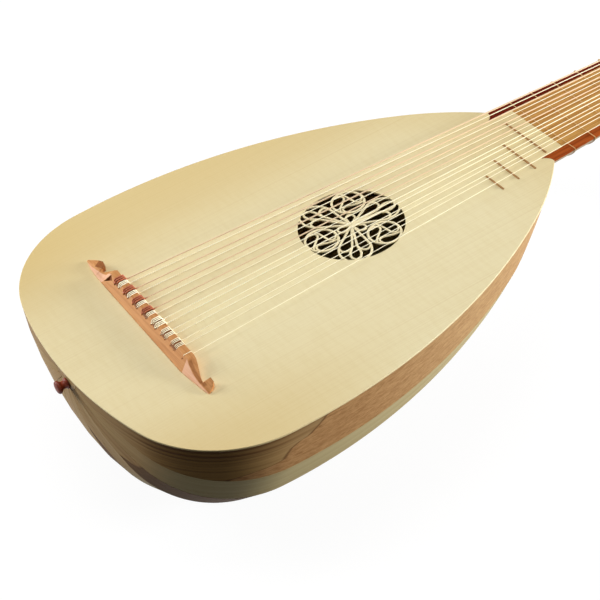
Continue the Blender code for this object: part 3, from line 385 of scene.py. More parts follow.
def straight_wood(pale, dark, axis_scales, contrast):
    """Wood whose grain runs along one of the lute's own directions."""
    def make(wire):
        place = lute_place(wire)
        lengthwise = place.noise(axis_scales, detail=4.0, rough=0.62)
        fine_scales = tuple(scale * 5.0 for scale in axis_scales)
        fine = place.noise(fine_scales, detail=3.0, rough=0.6, shift=5.0)
        amount = lengthwise.step(0.33, 0.70) * contrast + fine.step(0.3, 0.8) * 0.3
        return {
            "Base Color": amount.blend(srgb(*pale), srgb(*dark)),
            "Roughness": fine * 0.12 + 0.38,
            "Height": (fine, 0.12, 0.0002),
        }
    return make


def gut_look(pale, dark, painted_glow=0.0):
    """Gut or its like. A little emission makes it glow, which is painted light that brightens it."""
    def make(wire):
        place = lute_place(wire)
        along = place.noise((30.0, 60.0, 30.0), detail=3.0)
        twist = place.noise((900.0, 900.0, 900.0), detail=1.0, shift=4.0)
        colour = (along.step(0.3, 0.75) * 0.6 + twist * 0.25).blend(pale, dark)
        return {
            "Base Color": colour,
            "Emission Color": colour,
            "Emission Strength": painted_glow,
            "Roughness": twist * 0.15 + 0.28,
            "Height": (twist, 0.15, 0.0001),
        }
    return make


def loaded_look(wire):
    """Loaded gut, redder and darker in its knots at the bridge than along its length, where its paler colour
    is a painted highlight on the same string.
    """
    place = lute_place(wire)
    _, y, _ = place.parts()
    twist = place.noise((900.0, 900.0, 900.0), detail=1.0, shift=4.0)
    length = (twist * 0.5).blend(srgb(248, 222, 186), srgb(234, 202, 162))
    knot = (twist * 0.6).blend(srgb(202, 118, 82), srgb(160, 82, 52))
    return {
        # One string, painted paler along its length than in its knots: a painted highlight
        "Base Color": y.step(0.0002, 0.0060).blend(knot, length),
        "Roughness": twist * 0.15 + 0.30,
        "Height": (twist, 0.15, 0.0001),
    }


def ramped(value, low, high, stops):
    """A value looked up between stops given in its own units, as place and result in -1 to 0."""
    share = (value - low) * (1.0 / (high - low))
    stops = [((at - low) / (high - low), -result) for at, result in stops]
    return share.node("ValToRGB", {"Fac": share}, stops=stops) * -1.0


def bridge_facets(place):
    """Masks of the pale facets cut behind both ends of the bridge, and of the dark side of the bass leaf
    together with painted shade on the treble end's face toward the hollow.

    They are drawn over the bridge's own coordinates, along it and across it, in tenths of a metre.
    """
    own = place.node("Mapping", {"Vector": place, "Rotation": (0.0, 0.0, -BRIDGE_SLANT), "Scale": (10.0,) * 3,
                                 "Location": (0.0, -10.0 * BRIDGE_PLACE, 0.0)})
    along, across, _ = own.parts()
    bass = ramped(along, -1.03, -0.64, (
        (-1.03, -0.108), (-0.93, -0.112), (-0.855, -0.104), (-0.80, -0.092), (-0.75, -0.080), (-0.70, -0.068),
        (-0.64, -0.050)))
    bass_end = ((across + 0.059) * 0.716 - 0.657 - along).step(0.0, 0.004)
    bass_facet = (bass - across).step(0.0, 0.004) * bass_end
    treble = ramped(along, 0.54, 0.91, (
        (0.54, -0.058), (0.60, -0.076), (0.66, -0.087), (0.72, -0.092), (0.78, -0.094), (0.84, -0.092),
        (0.91, -0.085)))
    treble_end = (along + (across + 0.063) * 0.41 - 0.552).step(0.0, 0.004)
    treble_facet = (treble - across).step(0.0, 0.004) * treble_end
    # Painted shade on the face of the treble end that turns towards the hollow
    band = (across - treble).step(0.0, 0.006) * (treble + 0.036 - across).step(0.0, 0.010)
    band = band * (along - 0.565).step(0.0, 0.02) * (0.85 - along).step(0.0, 0.02)
    leaf = (along + 0.925 + (across + 0.041) * 0.492).step(0.0, 0.006)
    leaf = leaf * (across + 0.102 - (along + 0.895) * 0.43).step(0.0, 0.006)
    leaf = leaf * (-0.80 - along).step(0.0, 0.006)
    return bass_facet + treble_facet, leaf + band * 0.7


def painted_knot_shade(place):
    """Mask of painted shade on top of the tie block, under the knots of all courses but the first, where the
    gaps between the turns lie in shade.
    """
    x, _, z = place.parts()
    course = ((x - BRIDGE_FIRST_COURSE) * (1.0 / BRIDGE_COURSE_PITCH) + 0.5).sum("FRACT")
    tied = (1.0 - (course - 0.5).sum("ABSOLUTE").step(0.26, 0.32)) * z.step(0.0060, 0.0072)
    start = BRIDGE_FIRST_COURSE - BRIDGE_COURSE_PITCH / 2.0
    end = start - BRIDGE_COURSE_PITCH * (len(COURSES) - 1)
    return tied * (start - x).step(0.0, 0.0007) * (x + 0.0010 - end).step(0.0, 0.0007)


def carved_pear(wire):
    """Pear wood, with pale and dark facets at the ends, painted shade on the treble end and on the tie block
    under the knots, and a dark notch, its end grain darkened further as painted shade.
    """
    place = lute_place(wire)
    long_grain = place.noise((10.0, 420.0, 420.0), detail=4.0, rough=0.62)
    fine = place.noise((60.0, 1700.0, 1700.0), detail=2.0, shift=5.0)
    amount = long_grain.step(0.33, 0.70) * 0.6 + fine.step(0.3, 0.8) * 0.25
    pale_facets, dark_facets_and_shade = bridge_facets(place)
    wood = amount.blend(srgb(212, 154, 98), srgb(176, 112, 62))
    wood = pale_facets.blend(wood, amount.blend(srgb(238, 190, 156), srgb(222, 164, 128)))
    # The dark facets of the bass leaf, and painted shade on the treble end
    wood = dark_facets_and_shade.blend(wood, amount.blend(srgb(164, 104, 60), srgb(124, 72, 38)))
    # Painted shade on the tie block's top, under the knots
    wood = (painted_knot_shade(place) * 0.80).blend(wood, srgb(104, 56, 26))
    # The notch's faces are darker: partly their end grain, partly painted shade
    notch = wire.node("Attribute", out=2, attribute_name="tone")
    return {
        "Base Color": notch.step(0.2, 0.8).blend(wood, amount.blend(srgb(130, 76, 44), srgb(92, 48, 26))),
        "Roughness": fine * 0.12 + 0.40,
        "Height": (fine, 0.12, 0.0002),
    }


def bone_look(wire):
    """Bone, with a faint cloud and fine lines across the neck."""
    place = lute_place(wire)
    cloud = place.noise((140.0, 140.0, 140.0), detail=3.0)
    lines = place.noise((60.0, 1400.0, 900.0), detail=2.0, shift=3.0)
    return {
        "Base Color": (cloud.step(0.35, 0.7) * 0.5 + lines.step(0.5, 0.8) * 0.3).blend(
            srgb(244, 236, 212), srgb(222, 206, 168)),
        "Roughness": cloud * 0.12 + 0.26,
        "Height": (lines, 0.06, 0.0001),
    }


FINISHES = {
    "spruce": finish("spruce", spruce),
    "walnut": finish("walnut", streaked(
        srgb(182, 142, 96), srgb(124, 84, 50), srgb(188, 156, 110), srgb(150, 112, 68), 0.10), specular=0.02),
    "maple": finish("maple", streaked(
        srgb(198, 182, 132), srgb(174, 152, 102), srgb(188, 158, 110), srgb(154, 120, 72), 0.115, fleck=0.15,
        pull=0.6), specular=0.02),
    "pear": finish("pear", carved_pear),
    "bone": finish("bone", bone_look, coat=0.2, specular=0.4),
    # The plain gut strings glow a little, as painted light
    "gut": finish("gut", gut_look(srgb(255, 249, 220), srgb(248, 234, 192), 0.16), coat=0.5,
                  coat_roughness=0.10, specular=0.6),
    "fret_gut": finish("fret_gut", gut_look(srgb(226, 190, 128), srgb(198, 154, 92)), specular=0.2),
    "loaded_gut": finish("loaded_gut", loaded_look, specular=0.25),
}

# Woods with straight grain: pale and dark colour, fineness along x, y and z, contrast and gloss
PEG_GLOSS = {"coat": 0.08, "specular": 0.22}
for wood, pale, dark, scales, contrast, gloss in (
        ("block_wood", (188, 158, 112), (160, 126, 80), (300.0, 300.0, 6.0), 0.6, {}),
        ("neck_wood", (202, 184, 156), (172, 148, 118), (160.0, 5.0, 160.0), 0.6, {}),
        ("fingerboard_wood", (218, 170, 98), (172, 116, 54), (260.0, 5.0, 260.0), 0.85, {"specular": 0.03}),
        ("edge_wood", (180, 88, 36), (114, 46, 16), (420.0, 9.0, 420.0), 0.6, {"specular": 0.03}),
        ("dark_edge_wood", (124, 40, 16), (70, 16, 6), (420.0, 9.0, 420.0), 0.6, {"specular": 0.03}),
        ("rose_wood", (250, 240, 204), (236, 220, 176), (760.0, 6.0, 60.0), 0.6, {"specular": 0.03}),
        ("peg_wood", (146, 58, 28), (78, 24, 10), (30.0, 500.0, 500.0), 0.6, PEG_GLOSS),
        ("fret_wood", (184, 142, 92), (140, 100, 60), (30.0, 900.0, 400.0), 0.6, {})):
    FINISHES[wood] = finish(wood, straight_wood(pale, dark, scales, contrast), **gloss)

# Ribs with sapwood: how far it reaches along the rib at places across it, in metres. The last three don't
# show in the photograph, and theirs is a free wave
DIM_HEART = (srgb(124, 92, 58), srgb(88, 62, 36))
FINISHES["rib_1"] = finish("first_rib", sapwood_rib(
    ((0.0, 0.242), (0.0098, 0.2325), (0.0148, 0.2270), (0.0166, 0.2165), (0.0200, 0.2100), (0.0250, 0.2065),
     (0.0295, 0.2035), (0.0335, 0.1790), (0.0375, 0.1620)), 0.65), specular=0.02)
FINISHES["rib_3"] = finish("third_rib", sapwood_rib(
    ((0.0, 0.0960), (0.0105, 0.0915), (0.0165, 0.0830), (0.0190, 0.0800), (0.0215, 0.0790), (0.0400, 0.0790)),
    0.5, rim_streaks=0.0, heart=DIM_HEART), specular=0.008)
FINISHES["rib_5"] = finish("fifth_rib", sapwood_rib(
    ((0.0, 0.1000), (0.0060, 0.0880), (0.0120, 0.0720), (0.0180, 0.0520), (0.0400, 0.0480)),
    0.5, rim_streaks=0.0, heart=DIM_HEART), specular=0.008)
for rib, reach in ((7, 0.20), (9, 0.12), (11, 0.22)):
    wave = [(0.0055 * i, reach + 0.022 * math.sin(rib * 1.7 + i * 1.9) + 0.004 * (i - 3) ** 2)
            for i in range(8)]
    FINISHES[f"rib_{rib}"] = finish(f"rib_{rib}_wood", sapwood_rib(wave, 0.3, 1.0 if rib == 11 else 0.0),
                                      specular=0.02)


def outline_arcs():
    """Centre, radius, first heading and last heading of each arc of the treble half's outline."""
    arcs = []
    point = Vector((0.0, -TAIL_DISTANCE))
    heading = 0.0
    for radius, turn in zip(OUTLINE_RADII, OUTLINE_TURNS):
        centre = point + radius * Vector((-math.sin(heading), math.cos(heading)))
        arcs.append((centre, radius, heading, heading + turn))
        heading += turn
        point = centre + radius * Vector((math.sin(heading), -math.cos(heading)))
    centre = point + SHOULDER_RADIUS * Vector((-math.sin(heading), math.cos(heading)))
    last = math.pi - math.asin((NECK_HALF_WIDTH - centre.x) / SHOULDER_RADIUS)
    arcs.append((centre, SHOULDER_RADIUS, heading, last))
    return arcs


ARCS = outline_arcs()
OUTLINE_LENGTH = sum(radius * (last - first) for _, radius, first, last in ARCS)


def outline(heading, inset=0.0):
    """Half-width and place along the lute where the outline has this heading."""
    centre, radius = next((c, r) for c, r, _, last in ARCS if heading <= last + 1e-9)
    return centre + (radius - inset) * Vector((math.sin(heading), -math.cos(heading)))


def heading_at(distance):
    """The outline's heading so far along it from the tail's middle."""
    for _, radius, first, last in ARCS:
        reach = radius * (last - first)
        if distance <= reach:
            return first + distance / radius
        distance -= reach
    return ARCS[-1][3]


NECK_JOINT = outline(ARCS[-1][3]).y


def section_point(half_width, place, depth, angle, roundness):
    """A point of a round section at an angle from its treble edge, flatter where it is less round."""
    return Vector((half_width * math.cos(angle), place, -depth * max(math.sin(angle), 0.0) ** roundness))


def bowl_point(heading, angle):
    """A point of the bowl, at an angle of 0 on the treble rim and of 180 degrees on the bass rim."""
    half_width, place = outline(heading)
    share = min(max((place - SHOULDER_START) / (NECK_JOINT - SHOULDER_START), 0.0), 1.0)
    share = share * share * (3.0 - 2.0 * share)
    depth = half_width * (DEPTH_RATIO + (NECK_DEPTH_RATIO - DEPTH_RATIO) * share)
    return section_point(half_width, place, depth, angle, 1.0 + (NECK_ROUNDNESS - 1.0) * share)


def seam_angles():
    """Angle of each seam round the bowl, with wider ribs at both rims."""
    inner = (math.pi - 2.0 * OUTER_RIB_TURN) / (RIB_COUNT - 2)
    return [0.0, *(OUTER_RIB_TURN + inner * i for i in range(RIB_COUNT - 1)), math.pi]


SEAMS = seam_angles()


def placed(name, data):
    """A new object in the scene, at the origin."""
    thing = bpy.data.objects.new(name, data)
    bpy.context.scene.collection.objects.link(thing)
    return thing


def mesh_of(name, bm):
    """The finished mesh of a bmesh, which is freed."""
    mesh = bpy.data.meshes.new(name)
    bm.to_mesh(mesh)
    bm.free()
    return mesh


def worn_edges(thing, width, angle, harden=False):
    """Rounds the edges that turn by more than an angle."""
    bevel = thing.modifiers.new("worn edges", "BEVEL")
    bevel.width = width
    bevel.segments = 2
    bevel.limit_method = "ANGLE"
    bevel.angle_limit = math.radians(angle)
    bevel.harden_normals = harden


def piece(name, bm, finish_name, stands_for=(), body="lute", crisp=32.0, edge=0.0, at_rest=False):
    """A finished piece in its place, with its finish, riding on a body of the frame."""
    if not at_rest:
        bm.transform(REST)
    mesh = mesh_of(name, bm)
    thing = placed(name, mesh)
    mesh.materials.append(FINISHES[finish_name])
    mesh.shade_smooth()
    mesh.set_sharp_from_angle(angle=math.radians(crisp))
    if edge:
        worn_edges(thing, edge, crisp, harden=True)
    if stands_for:
        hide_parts(*stands_for)
    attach(thing, body)
    return thing


def node_copy(node):
    """A copy of a node's mesh in the lute's frame, with its loose triangles merged into flat faces."""
    bm = bmesh.new()
    bm.from_mesh(frame["nodes"][node].data)
    bm.transform(FROM_REST)
    bmesh.ops.remove_doubles(bm, verts=bm.verts, dist=0.00002)
    bmesh.ops.dissolve_limit(bm, angle_limit=math.radians(1.0), verts=bm.verts, edges=bm.edges)
    bmesh.ops.recalc_face_normals(bm, faces=bm.faces)
    return bm


def loft(rings, bm=None):
    """A closed body grown from a first ring of points through the others."""
    bm = bm or bmesh.new()
    loop = [bm.verts.new(point) for point in rings[0]]
    edges = [bm.edges.new(pair) for pair in zip(loop, loop[1:] + loop[:1])]
    made = bmesh.ops.contextual_create(bm, geom=edges)["faces"]
    for ring in rings[1:]:
        grown = set(bmesh.ops.extrude_edge_only(bm, edges=edges)["geom"])
        made += [part for part in grown if isinstance(part, bmesh.types.BMFace)]
        loop = [next(e.other_vert(v) for e in v.link_edges if e.other_vert(v) in grown) for v in loop]
        for vertex, point in zip(loop, ring):
            vertex.co = point
        edges = [bm.edges.get(pair) for pair in zip(loop, loop[1:] + loop[:1])]
    made += bmesh.ops.contextual_create(bm, geom=edges)["faces"]
    bmesh.ops.recalc_face_normals(bm, faces=made)
    return bm


def cut_off(bm, point, normal):
    """Takes away what lies past a plane, on the side that its normal points to."""
    return bmesh.ops.bisect_plane(bm, geom=bm.verts[:] + bm.edges[:] + bm.faces[:], plane_co=point,
                                  plane_no=normal, clear_outer=True)


def plate(points, bottom, top):
    """A flat body of one outline between two heights."""
    return loft([[Vector((*point, height)) for point in points] for height in (bottom, top)])


def turned(profile, sides, axis, centre):
    """A body turned about a line, from places along it and radii."""
    bm = bmesh.new()
    across = Vector((0.0, 0.0, 1.0))
    points = [centre + axis * along + across * radius for along, radius in profile]
    points = [centre + axis * profile[0][0], *points, centre + axis * profile[-1][0]]
    line = [bm.verts.new(point) for point in points]
    edges = [bm.edges.new(pair) for pair in zip(line, line[1:])]
    bmesh.ops.spin(bm, geom=line + edges, cent=centre, axis=axis, angle=2.0 * math.pi, steps=sides,
                   use_merge=True)
    bmesh.ops.remove_doubles(bm, verts=bm.verts, dist=1e-6)
    bmesh.ops.recalc_face_normals(bm, faces=bm.faces)
    return bm


def smooth_line(points, pieces):
    """Points on a smooth curve through the given ones, with so many pieces between each two."""
    found = []
    for i in range(len(points) - 1):
        a = points[max(i - 1, 0)]
        b = points[i]
        c = points[i + 1]
        d = points[min(i + 2, len(points) - 1)]
        for k in range(pieces):
            t = k / pieces
            found.append(b + (c - a) * (t / 2.0) + (2.0 * a - 5.0 * b + 4.0 * c - d) * (t * t / 2.0)
                         + (3.0 * b - a - 3.0 * c + d) * (t * t * t / 2.0))
    return found + [points[-1]]


def make_ribs():
    """Ribs bent along the bowl and flat across, with their own UV map in metres for the wood's run."""
    length = OUTLINE_LENGTH - TAIL_PATCH_RADIUS
    for number in range(RIB_COUNT):
        bm = bmesh.new()
        bmesh.ops.create_grid(bm, x_segments=RIB_STEPS[0], y_segments=RIB_STEPS[1], size=0.5)
        uv = bm.loops.layers.uv.new("rib")
        wood = {}
        for vertex in bm.verts:
            distance = TAIL_PATCH_RADIUS + length * (vertex.co.x + 0.5)
            share = vertex.co.y + 0.5
            heading = heading_at(distance)
            first = bowl_point(heading, SEAMS[number])
            second = bowl_point(heading, SEAMS[number + 1])
            width = (second - first).length
            seam = min(RIB_SEAM / max(width, 1e-6), 0.2)
            vertex.co = first.lerp(second, seam + (1.0 - 2.0 * seam) * share)
            wood[vertex] = (distance, number + width * share)
        for face in bm.faces:
            for corner in face.loops:
                corner[uv].uv = wood[corner.vert]
        if number in (0, RIB_COUNT - 1):
            cut_off(bm, (0.0, 0.0, -BOARD_THICKNESS), (0.0, 0.0, 1.0))
        middle = bowl_point(heading_at(OUTLINE_LENGTH / 2.0), (SEAMS[number] + SEAMS[number + 1]) / 2.0)
        face = min(bm.faces, key=lambda f: (f.calc_center_median() - middle).length)
        if face.normal.dot(Vector((middle.x, 0.0, middle.z))) < 0.0:
            bmesh.ops.reverse_faces(bm, faces=bm.faces)
        bmesh.ops.solidify(bm, geom=bm.faces[:], thickness=RIB_THICKNESS)
        name = f"rib_{number + 1}"
        piece(f"{name}_bent", bm, name if name in FINISHES else SLOT_OF[name], (name,), edge=0.00015)


def neck_share(place):
    """0 where the neck starts at the body and 1 at the nut."""
    return (place - NECK_JOINT) / (STRING_LENGTH - NECK_JOINT)


def neck_half_width(place):
    return NECK_HALF_WIDTH + (NUT_HALF_WIDTH - NECK_HALF_WIDTH) * neck_share(place)


def strip_inner_edge(place):
    width = EDGE_STRIP_WIDTH + (EDGE_STRIP_WIDTH_AT_NUT - EDGE_STRIP_WIDTH) * neck_share(place)
    return neck_half_width(place) - width


def mirrored(points):
    return [Vector((-p.x, p.y)) for p in reversed(points)]


def board_outline():
    """The soundboard's outline, with the scoops of the edge strips and the tongue between them."""
    treble = [outline(heading_at(OUTLINE_LENGTH * i / BOARD_STEPS)) for i in range(BOARD_STEPS)]
    reach = math.asin(EDGE_STRIP_WIDTH / (SCOOP_RADIUS + GAP))
    centre = Vector((NECK_HALF_WIDTH, NECK_JOINT - SCOOP_RADIUS))
    treble = [p for p in treble if p.y < NECK_JOINT - SCOOP_TOE]
    for i in range(SCOOP_STEPS + 1):
        turn = reach * i / SCOOP_STEPS
        treble.append(centre + (SCOOP_RADIUS - GAP) * Vector((-math.sin(turn), math.cos(turn))))
    notch = treble[-1]
    treble.append(Vector((min(strip_inner_edge(notch.y), notch.x) - GAP, notch.y - GAP)))
    tongue = NECK_JOINT + TONGUE_LENGTH
    treble.append(Vector((strip_inner_edge(tongue) - GAP / 2.0, tongue)))
    return treble + mirrored(treble[1:])


def circle_line(centre, radius, steps):
    turns = [2.0 * math.pi * i / steps for i in range(steps)]
    return [centre + radius * Vector((math.cos(t), math.sin(t))) for t in turns]


def cut_away(thing, bm):
    """Takes a shape out of a piece for good."""
    bm.transform(REST)
    tool = placed("cutter", mesh_of("cutter", bm))
    step = thing.modifiers.new("cut", "BOOLEAN")
    step.operation = "DIFFERENCE"
    step.solver = "EXACT"
    step.object = tool
    bpy.context.view_layer.update()
    seen = thing.evaluated_get(bpy.context.evaluated_depsgraph_get())
    finished = bpy.data.meshes.new_from_object(seen)
    thing.modifiers.clear()
    thing.data = finished
    bpy.data.objects.remove(tool)


def make_soundboard():
    """The soundboard with the hole for the rose, and the bars glued below it."""
    bm = plate(board_outline(), -BOARD_THICKNESS, 0.0)
    board = piece("soundboard_top", bm, "spruce", ("soundboard",))
    cut_away(board, plate(circle_line(Vector((0.0, ROSE_PLACE)), ROSE_RADIUS, ROSE_SIDES), -0.01, 0.01))
    board.data.shade_smooth()
    board.data.set_sharp_from_angle(angle=math.radians(32.0))
    worn_edges(board, 0.0003, 30.0)
    bars = node_copy("soundboard")
    cut_off(bars, (0.0, 0.0, -BOARD_THICKNESS - 0.0001), (0.0, 0.0, 1.0))
    bmesh.ops.holes_fill(bars, edges=[e for e in bars.edges if e.is_boundary], sides=0)
    piece("soundboard_bars", bars, "spruce", edge=0.0008)


def strap_body(bm, points, width, height, closed):
    """One flat strap of the rose with sloped sides, from a line of points."""
    count = len(points)
    slope = STRAP_SLOPE / width
    underside = -BOARD_THICKNESS - height
    corners = ((-0.5, -STRAP_SIDE), (-0.5 + slope, 0.0), (0.5 - slope, 0.0), (0.5, -STRAP_SIDE),
               (0.42, underside), (-0.42, underside))
    rings = []
    for i, point in enumerate(points):
        before = points[i - 1] if closed or i else point
        after = points[(i + 1) % count] if closed or i < count - 1 else point
        along = (after - before).normalized()
        side = Vector((-along.y, along.x))
        rings.append([Vector((*(point + side * width * across), height + drop)) for across, drop in corners])
    if closed:
        rings.append(rings[0])
    loft(rings, bm)


def rose_straps():
    """Line, width, height and whether it closes, of each strap in one third of the rose.

    The lines are in millimetres from the rose's middle, but the whirl's are distances and angles in degrees
    round the medallion.
    """
    def millimetres(*pairs):
        return [Vector(pair) / 1000.0 for pair in pairs]
    outer = millimetres((0, 0), (-5.9, 12.0), (-11.9, 24.0), (-13.1, 29.5), (-12.9, 34.6), (-11.0, 39.0),
                        (-7.2, 43.6))
    spear = millimetres((0, 0), (-1.5, 20.0), (-1.9, 26.0), (-3.2, 30.5), (-4.2, 34.0), (-4.3, 37.2),
                        (-3.2, 40.8), (0, 43.4))
    hood = millimetres((-12.6, 28.0), (-10.7, 31.2), (-7.6, 32.0), (-4.8, 30.9), (-2.9, 28.0))
    found = []
    for line, height in ((outer, -0.00022), (spear, -0.00008), (hood, -0.00040)):
        curved = smooth_line(line, 6)
        found.append((curved, STRAP_WIDTH, height, False))
        found.append(([Vector((-p.x, p.y)) for p in curved], STRAP_WIDTH, height - 0.00004, False))
    medallion = Vector((0.0, MEDALLION_PLACE))
    rim = circle_line(medallion, MEDALLION_RADIUS, ROSE_SIDES // 2)
    found.append((rim, MEDALLION_STRAP_WIDTH, -0.00015, True))
    whirl = ((13.0, 92), (9.3, 78), (5.9, 58), (4.3, 12), (5.9, -27), (8.8, -29), (11.3, -16), (13.3, 2))
    for number, start in enumerate((85.0, 205.0, 325.0)):
        line = []
        for distance, angle in whirl:
            turn = math.radians(start + angle)
            line.append(medallion + Vector((math.cos(turn), math.sin(turn))) * distance / 1000.0)
        found.append((smooth_line(line, 5), FINE_STRAP_WIDTH, -0.00032 - 0.00004 * number, False))
    drop = [Vector((0.0, 0.0))]
    for i in range(9):
        turn = math.radians(150.0 + 30.0 * i)
        drop.append(Vector((DROP_RADIUS * math.cos(turn), DROP_RADIUS * math.sin(turn) + DROP_PLACE)))
    drop.append(Vector((0.0, 0.0)))
    found.append((smooth_line(drop, 4), FINE_STRAP_WIDTH, -0.00028, False))
    return found


def make_rose():
    """The rose cut through the soundboard, its straps lying over and under one another."""
    bm = bmesh.new()
    for third in range(3):
        turn = Matrix.Rotation(math.radians(120.0 * third), 2)
        for line, width, height, closed in rose_straps():
            points = [turn @ point + Vector((0.0, ROSE_PLACE)) for point in line]
            strap_body(bm, points, width, height, closed)
    piece("rose", bm, "rose_wood", crisp=25.0)


def fret_place(number):
    return STRING_LENGTH * 2.0 ** (-number / 12.0)


def make_body_frets():
    """Short wooden frets glued on the soundboard."""
    for number, (left, right) in BODY_FRETS.items():
        place = fret_place(number)
        bm = bmesh.new()
        bmesh.ops.create_cube(bm, size=1.0)
        bmesh.ops.scale(bm, vec=(right - left, BODY_FRET_WIDTH, BODY_FRET_HEIGHT), verts=bm.verts)
        bmesh.ops.translate(bm, vec=((left + right) / 2.0, place, BODY_FRET_HEIGHT / 2.0), verts=bm.verts)
        piece(f"body_fret_{number}", bm, "fret_wood", edge=0.0003)


def pegbox_origin():
    return Vector((0.0, STRING_LENGTH + NUT_LENGTH - NUT_UNDERCUT, -BOARD_THICKNESS - GAP))


PEGBOX_TURN = Matrix.Rotation(PEGBOX_TILT, 3, "X")


def from_pegbox(across, out, along):
    """A point of the pegbox's frame in the lute's frame: across, out of the open face, along the box."""
    return pegbox_origin() + PEGBOX_TURN @ Vector((across, out, -along))


def pegbox_half_width(along):
    return NUT_HALF_WIDTH + (PEGBOX_END_HALF_WIDTH - NUT_HALF_WIDTH) * along / PEGBOX_LENGTH


def neck_section(place, swell=0.0):
    """The round back of the neck below the fingerboard, moved outwards for what is tied round it."""
    top = -BOARD_THICKNESS - GAP
    joint_depth = NECK_DEPTH_RATIO * NECK_HALF_WIDTH + top
    depth = joint_depth + (NUT_DEPTH - joint_depth) * neck_share(place)
    points = [section_point(neck_half_width(place), place, depth, math.pi * i / NECK_SIDES, NECK_ROUNDNESS)
              + Vector((0.0, 0.0, top)) for i in range(NECK_SIDES + 1)]
    runs = [after - before for before, after in zip(points, points[2:])]
    runs = [Vector((0.0, 0.0, -1.0)), *runs, Vector((0.0, 0.0, 1.0))]
    return [point + Vector((-run.z, 0.0, run.x)).normalized() * swell for point, run in zip(points, runs)]


def make_neck():
    """The neck, cut where the pegbox is seated on it, and the pieces that keep the solids' shapes."""
    start = NECK_JOINT + 0.0001
    bm = loft([neck_section(start + (STRING_LENGTH - start) * i / NECK_STEPS) for i in range(NECK_STEPS + 1)])
    copy = node_copy("neck")
    seat = max(copy.faces, key=lambda f: f.calc_center_median().y)
    point, normal = seat.calc_center_median(), seat.normal.copy()
    copy.free()
    cut = cut_off(bm, point, normal)
    bmesh.ops.holes_fill(bm, edges=[e for e in cut["geom_cut"] if isinstance(e, bmesh.types.BMEdge)], sides=0)
    piece("neck_back", bm, "neck_wood", ("neck",), edge=0.0004)
    for node, edge in (("fingerboard", 0.0003), ("edge_strip_treble", 0.0003), ("edge_strip_bass", 0.0003),
                       ("nut", 0.0002), ("pegbox", 0.0006), ("tail_block", 0.0003), ("neck_block", 0.0003)):
        look = "dark_edge_wood" if node == "edge_strip_bass" else SLOT_OF[node]
        piece(f"{node}_finished", node_copy(node), look, (node,), edge=edge)


def make_bridge():
    """The bridge, with crisp facets and a notch cut beside the bass end of the tie block."""
    bm = node_copy("bridge")
    bm.faces.layers.float.new("tone")
    bridge = piece("bridge_carved", bm, "pear", ("bridge",), crisp=7.0)
    notch = bmesh.new()
    for along, across, height in (
            (-0.0658, -0.0058, 0.0096), (-0.0710, -0.0134, 0.0029), (-0.0600, -0.0080, 0.0080),
            (-0.0665, -0.0093, 0.0026)):
        notch.verts.new(from_bridge(along, across, height))
    bmesh.ops.convex_hull(notch, input=notch.verts)
    # Its faces carry a tone for a darker colour, partly end grain and partly painted shade
    tone = notch.faces.layers.float.new("tone")
    for face in notch.faces:
        face[tone] = 1.0
    cut_away(bridge, notch)
    worn_edges(bridge, 0.0002, 20.0)


def from_bridge(along, across, height):
    """A point of the slanted bridge's own frame in the lute's frame."""
    turn = Matrix.Rotation(BRIDGE_SLANT, 3, "Z")
    return turn @ Vector((along, across, height)) + Vector((0.0, BRIDGE_PLACE, 0.0))


def course_strings():
    """Name, diameter and sideways places at bridge and nut of each string, from the treble side."""
    found = []
    for number, diameters in enumerate(COURSES):
        bridge_middle = BRIDGE_FIRST_COURSE - BRIDGE_COURSE_PITCH * number
        nut_middle = NUT_FIRST_COURSE - NUT_COURSE_PITCH * number
        for i, diameter in enumerate(diameters):
            paired = len(diameters) == 2
            shift = 0.5 - i if paired else 0.0
            name = f"string_{number + 1}{'ab'[i] if paired else ''}"
            found.append((name, diameter, bridge_middle + BRIDGE_PAIR_SPACING * shift,
                          nut_middle + NUT_PAIR_SPACING * shift))
    return found


def tie_route(middle, radius, single):
    """A string's knot round the tie block: one turn or three over its top, then out through its hole."""
    pitch = 0.0 if single else max(2.0 * radius + 0.00085, 0.00150)
    top = BLOCK_HEIGHT + radius + 0.00005
    front = radius + 0.00015
    rear = -BLOCK_TOP_WIDTH - radius - 0.0002
    dip = STRING_HOLE_HEIGHT - 2.0 * radius - 0.0004
    points = []
    for turn, x in enumerate((0.0,) if single else (pitch, 0.0, -pitch)):
        run = [(x, rear - 0.0005, top - 0.0018), (x, rear + 0.0004, top - 0.0003), (x, -0.003, top),
               (x, front - 0.0008, top - 0.0001), (x, front, top - 0.0012)]
        if turn % 2:
            run.reverse()
        points += run
        if turn == 0:
            points.append((pitch / 2.0, front + 0.0003, dip))
        elif turn == 1:
            points.append((-pitch / 2.0, rear - 0.0014, top - 0.0028))
    points = points[:-1] + [(-pitch, front, top - 0.0014), (-pitch * 0.5, front + 0.0002, dip)]
    points.append((0.0, front + 0.0012, STRING_HOLE_HEIGHT - 0.0002))
    return smooth_line([from_bridge(middle + x, y, z) for x, y, z in points], 5)


def peg_place(number):
    return FIRST_PEG_PLACE + PEG_SPACING * number


def peg_side(number):
    """The side that a peg's head stands at: 1 for the treble side, -1 for the bass side."""
    return 1.0 if number % 2 else -1.0


def peg_radius(number, across):
    """Radius of a peg's tapered shaft at a place across the pegbox."""
    to_head = pegbox_half_width(peg_place(number)) - peg_side(number) * across
    return PEG_RADIUS - PEG_TAPER * to_head


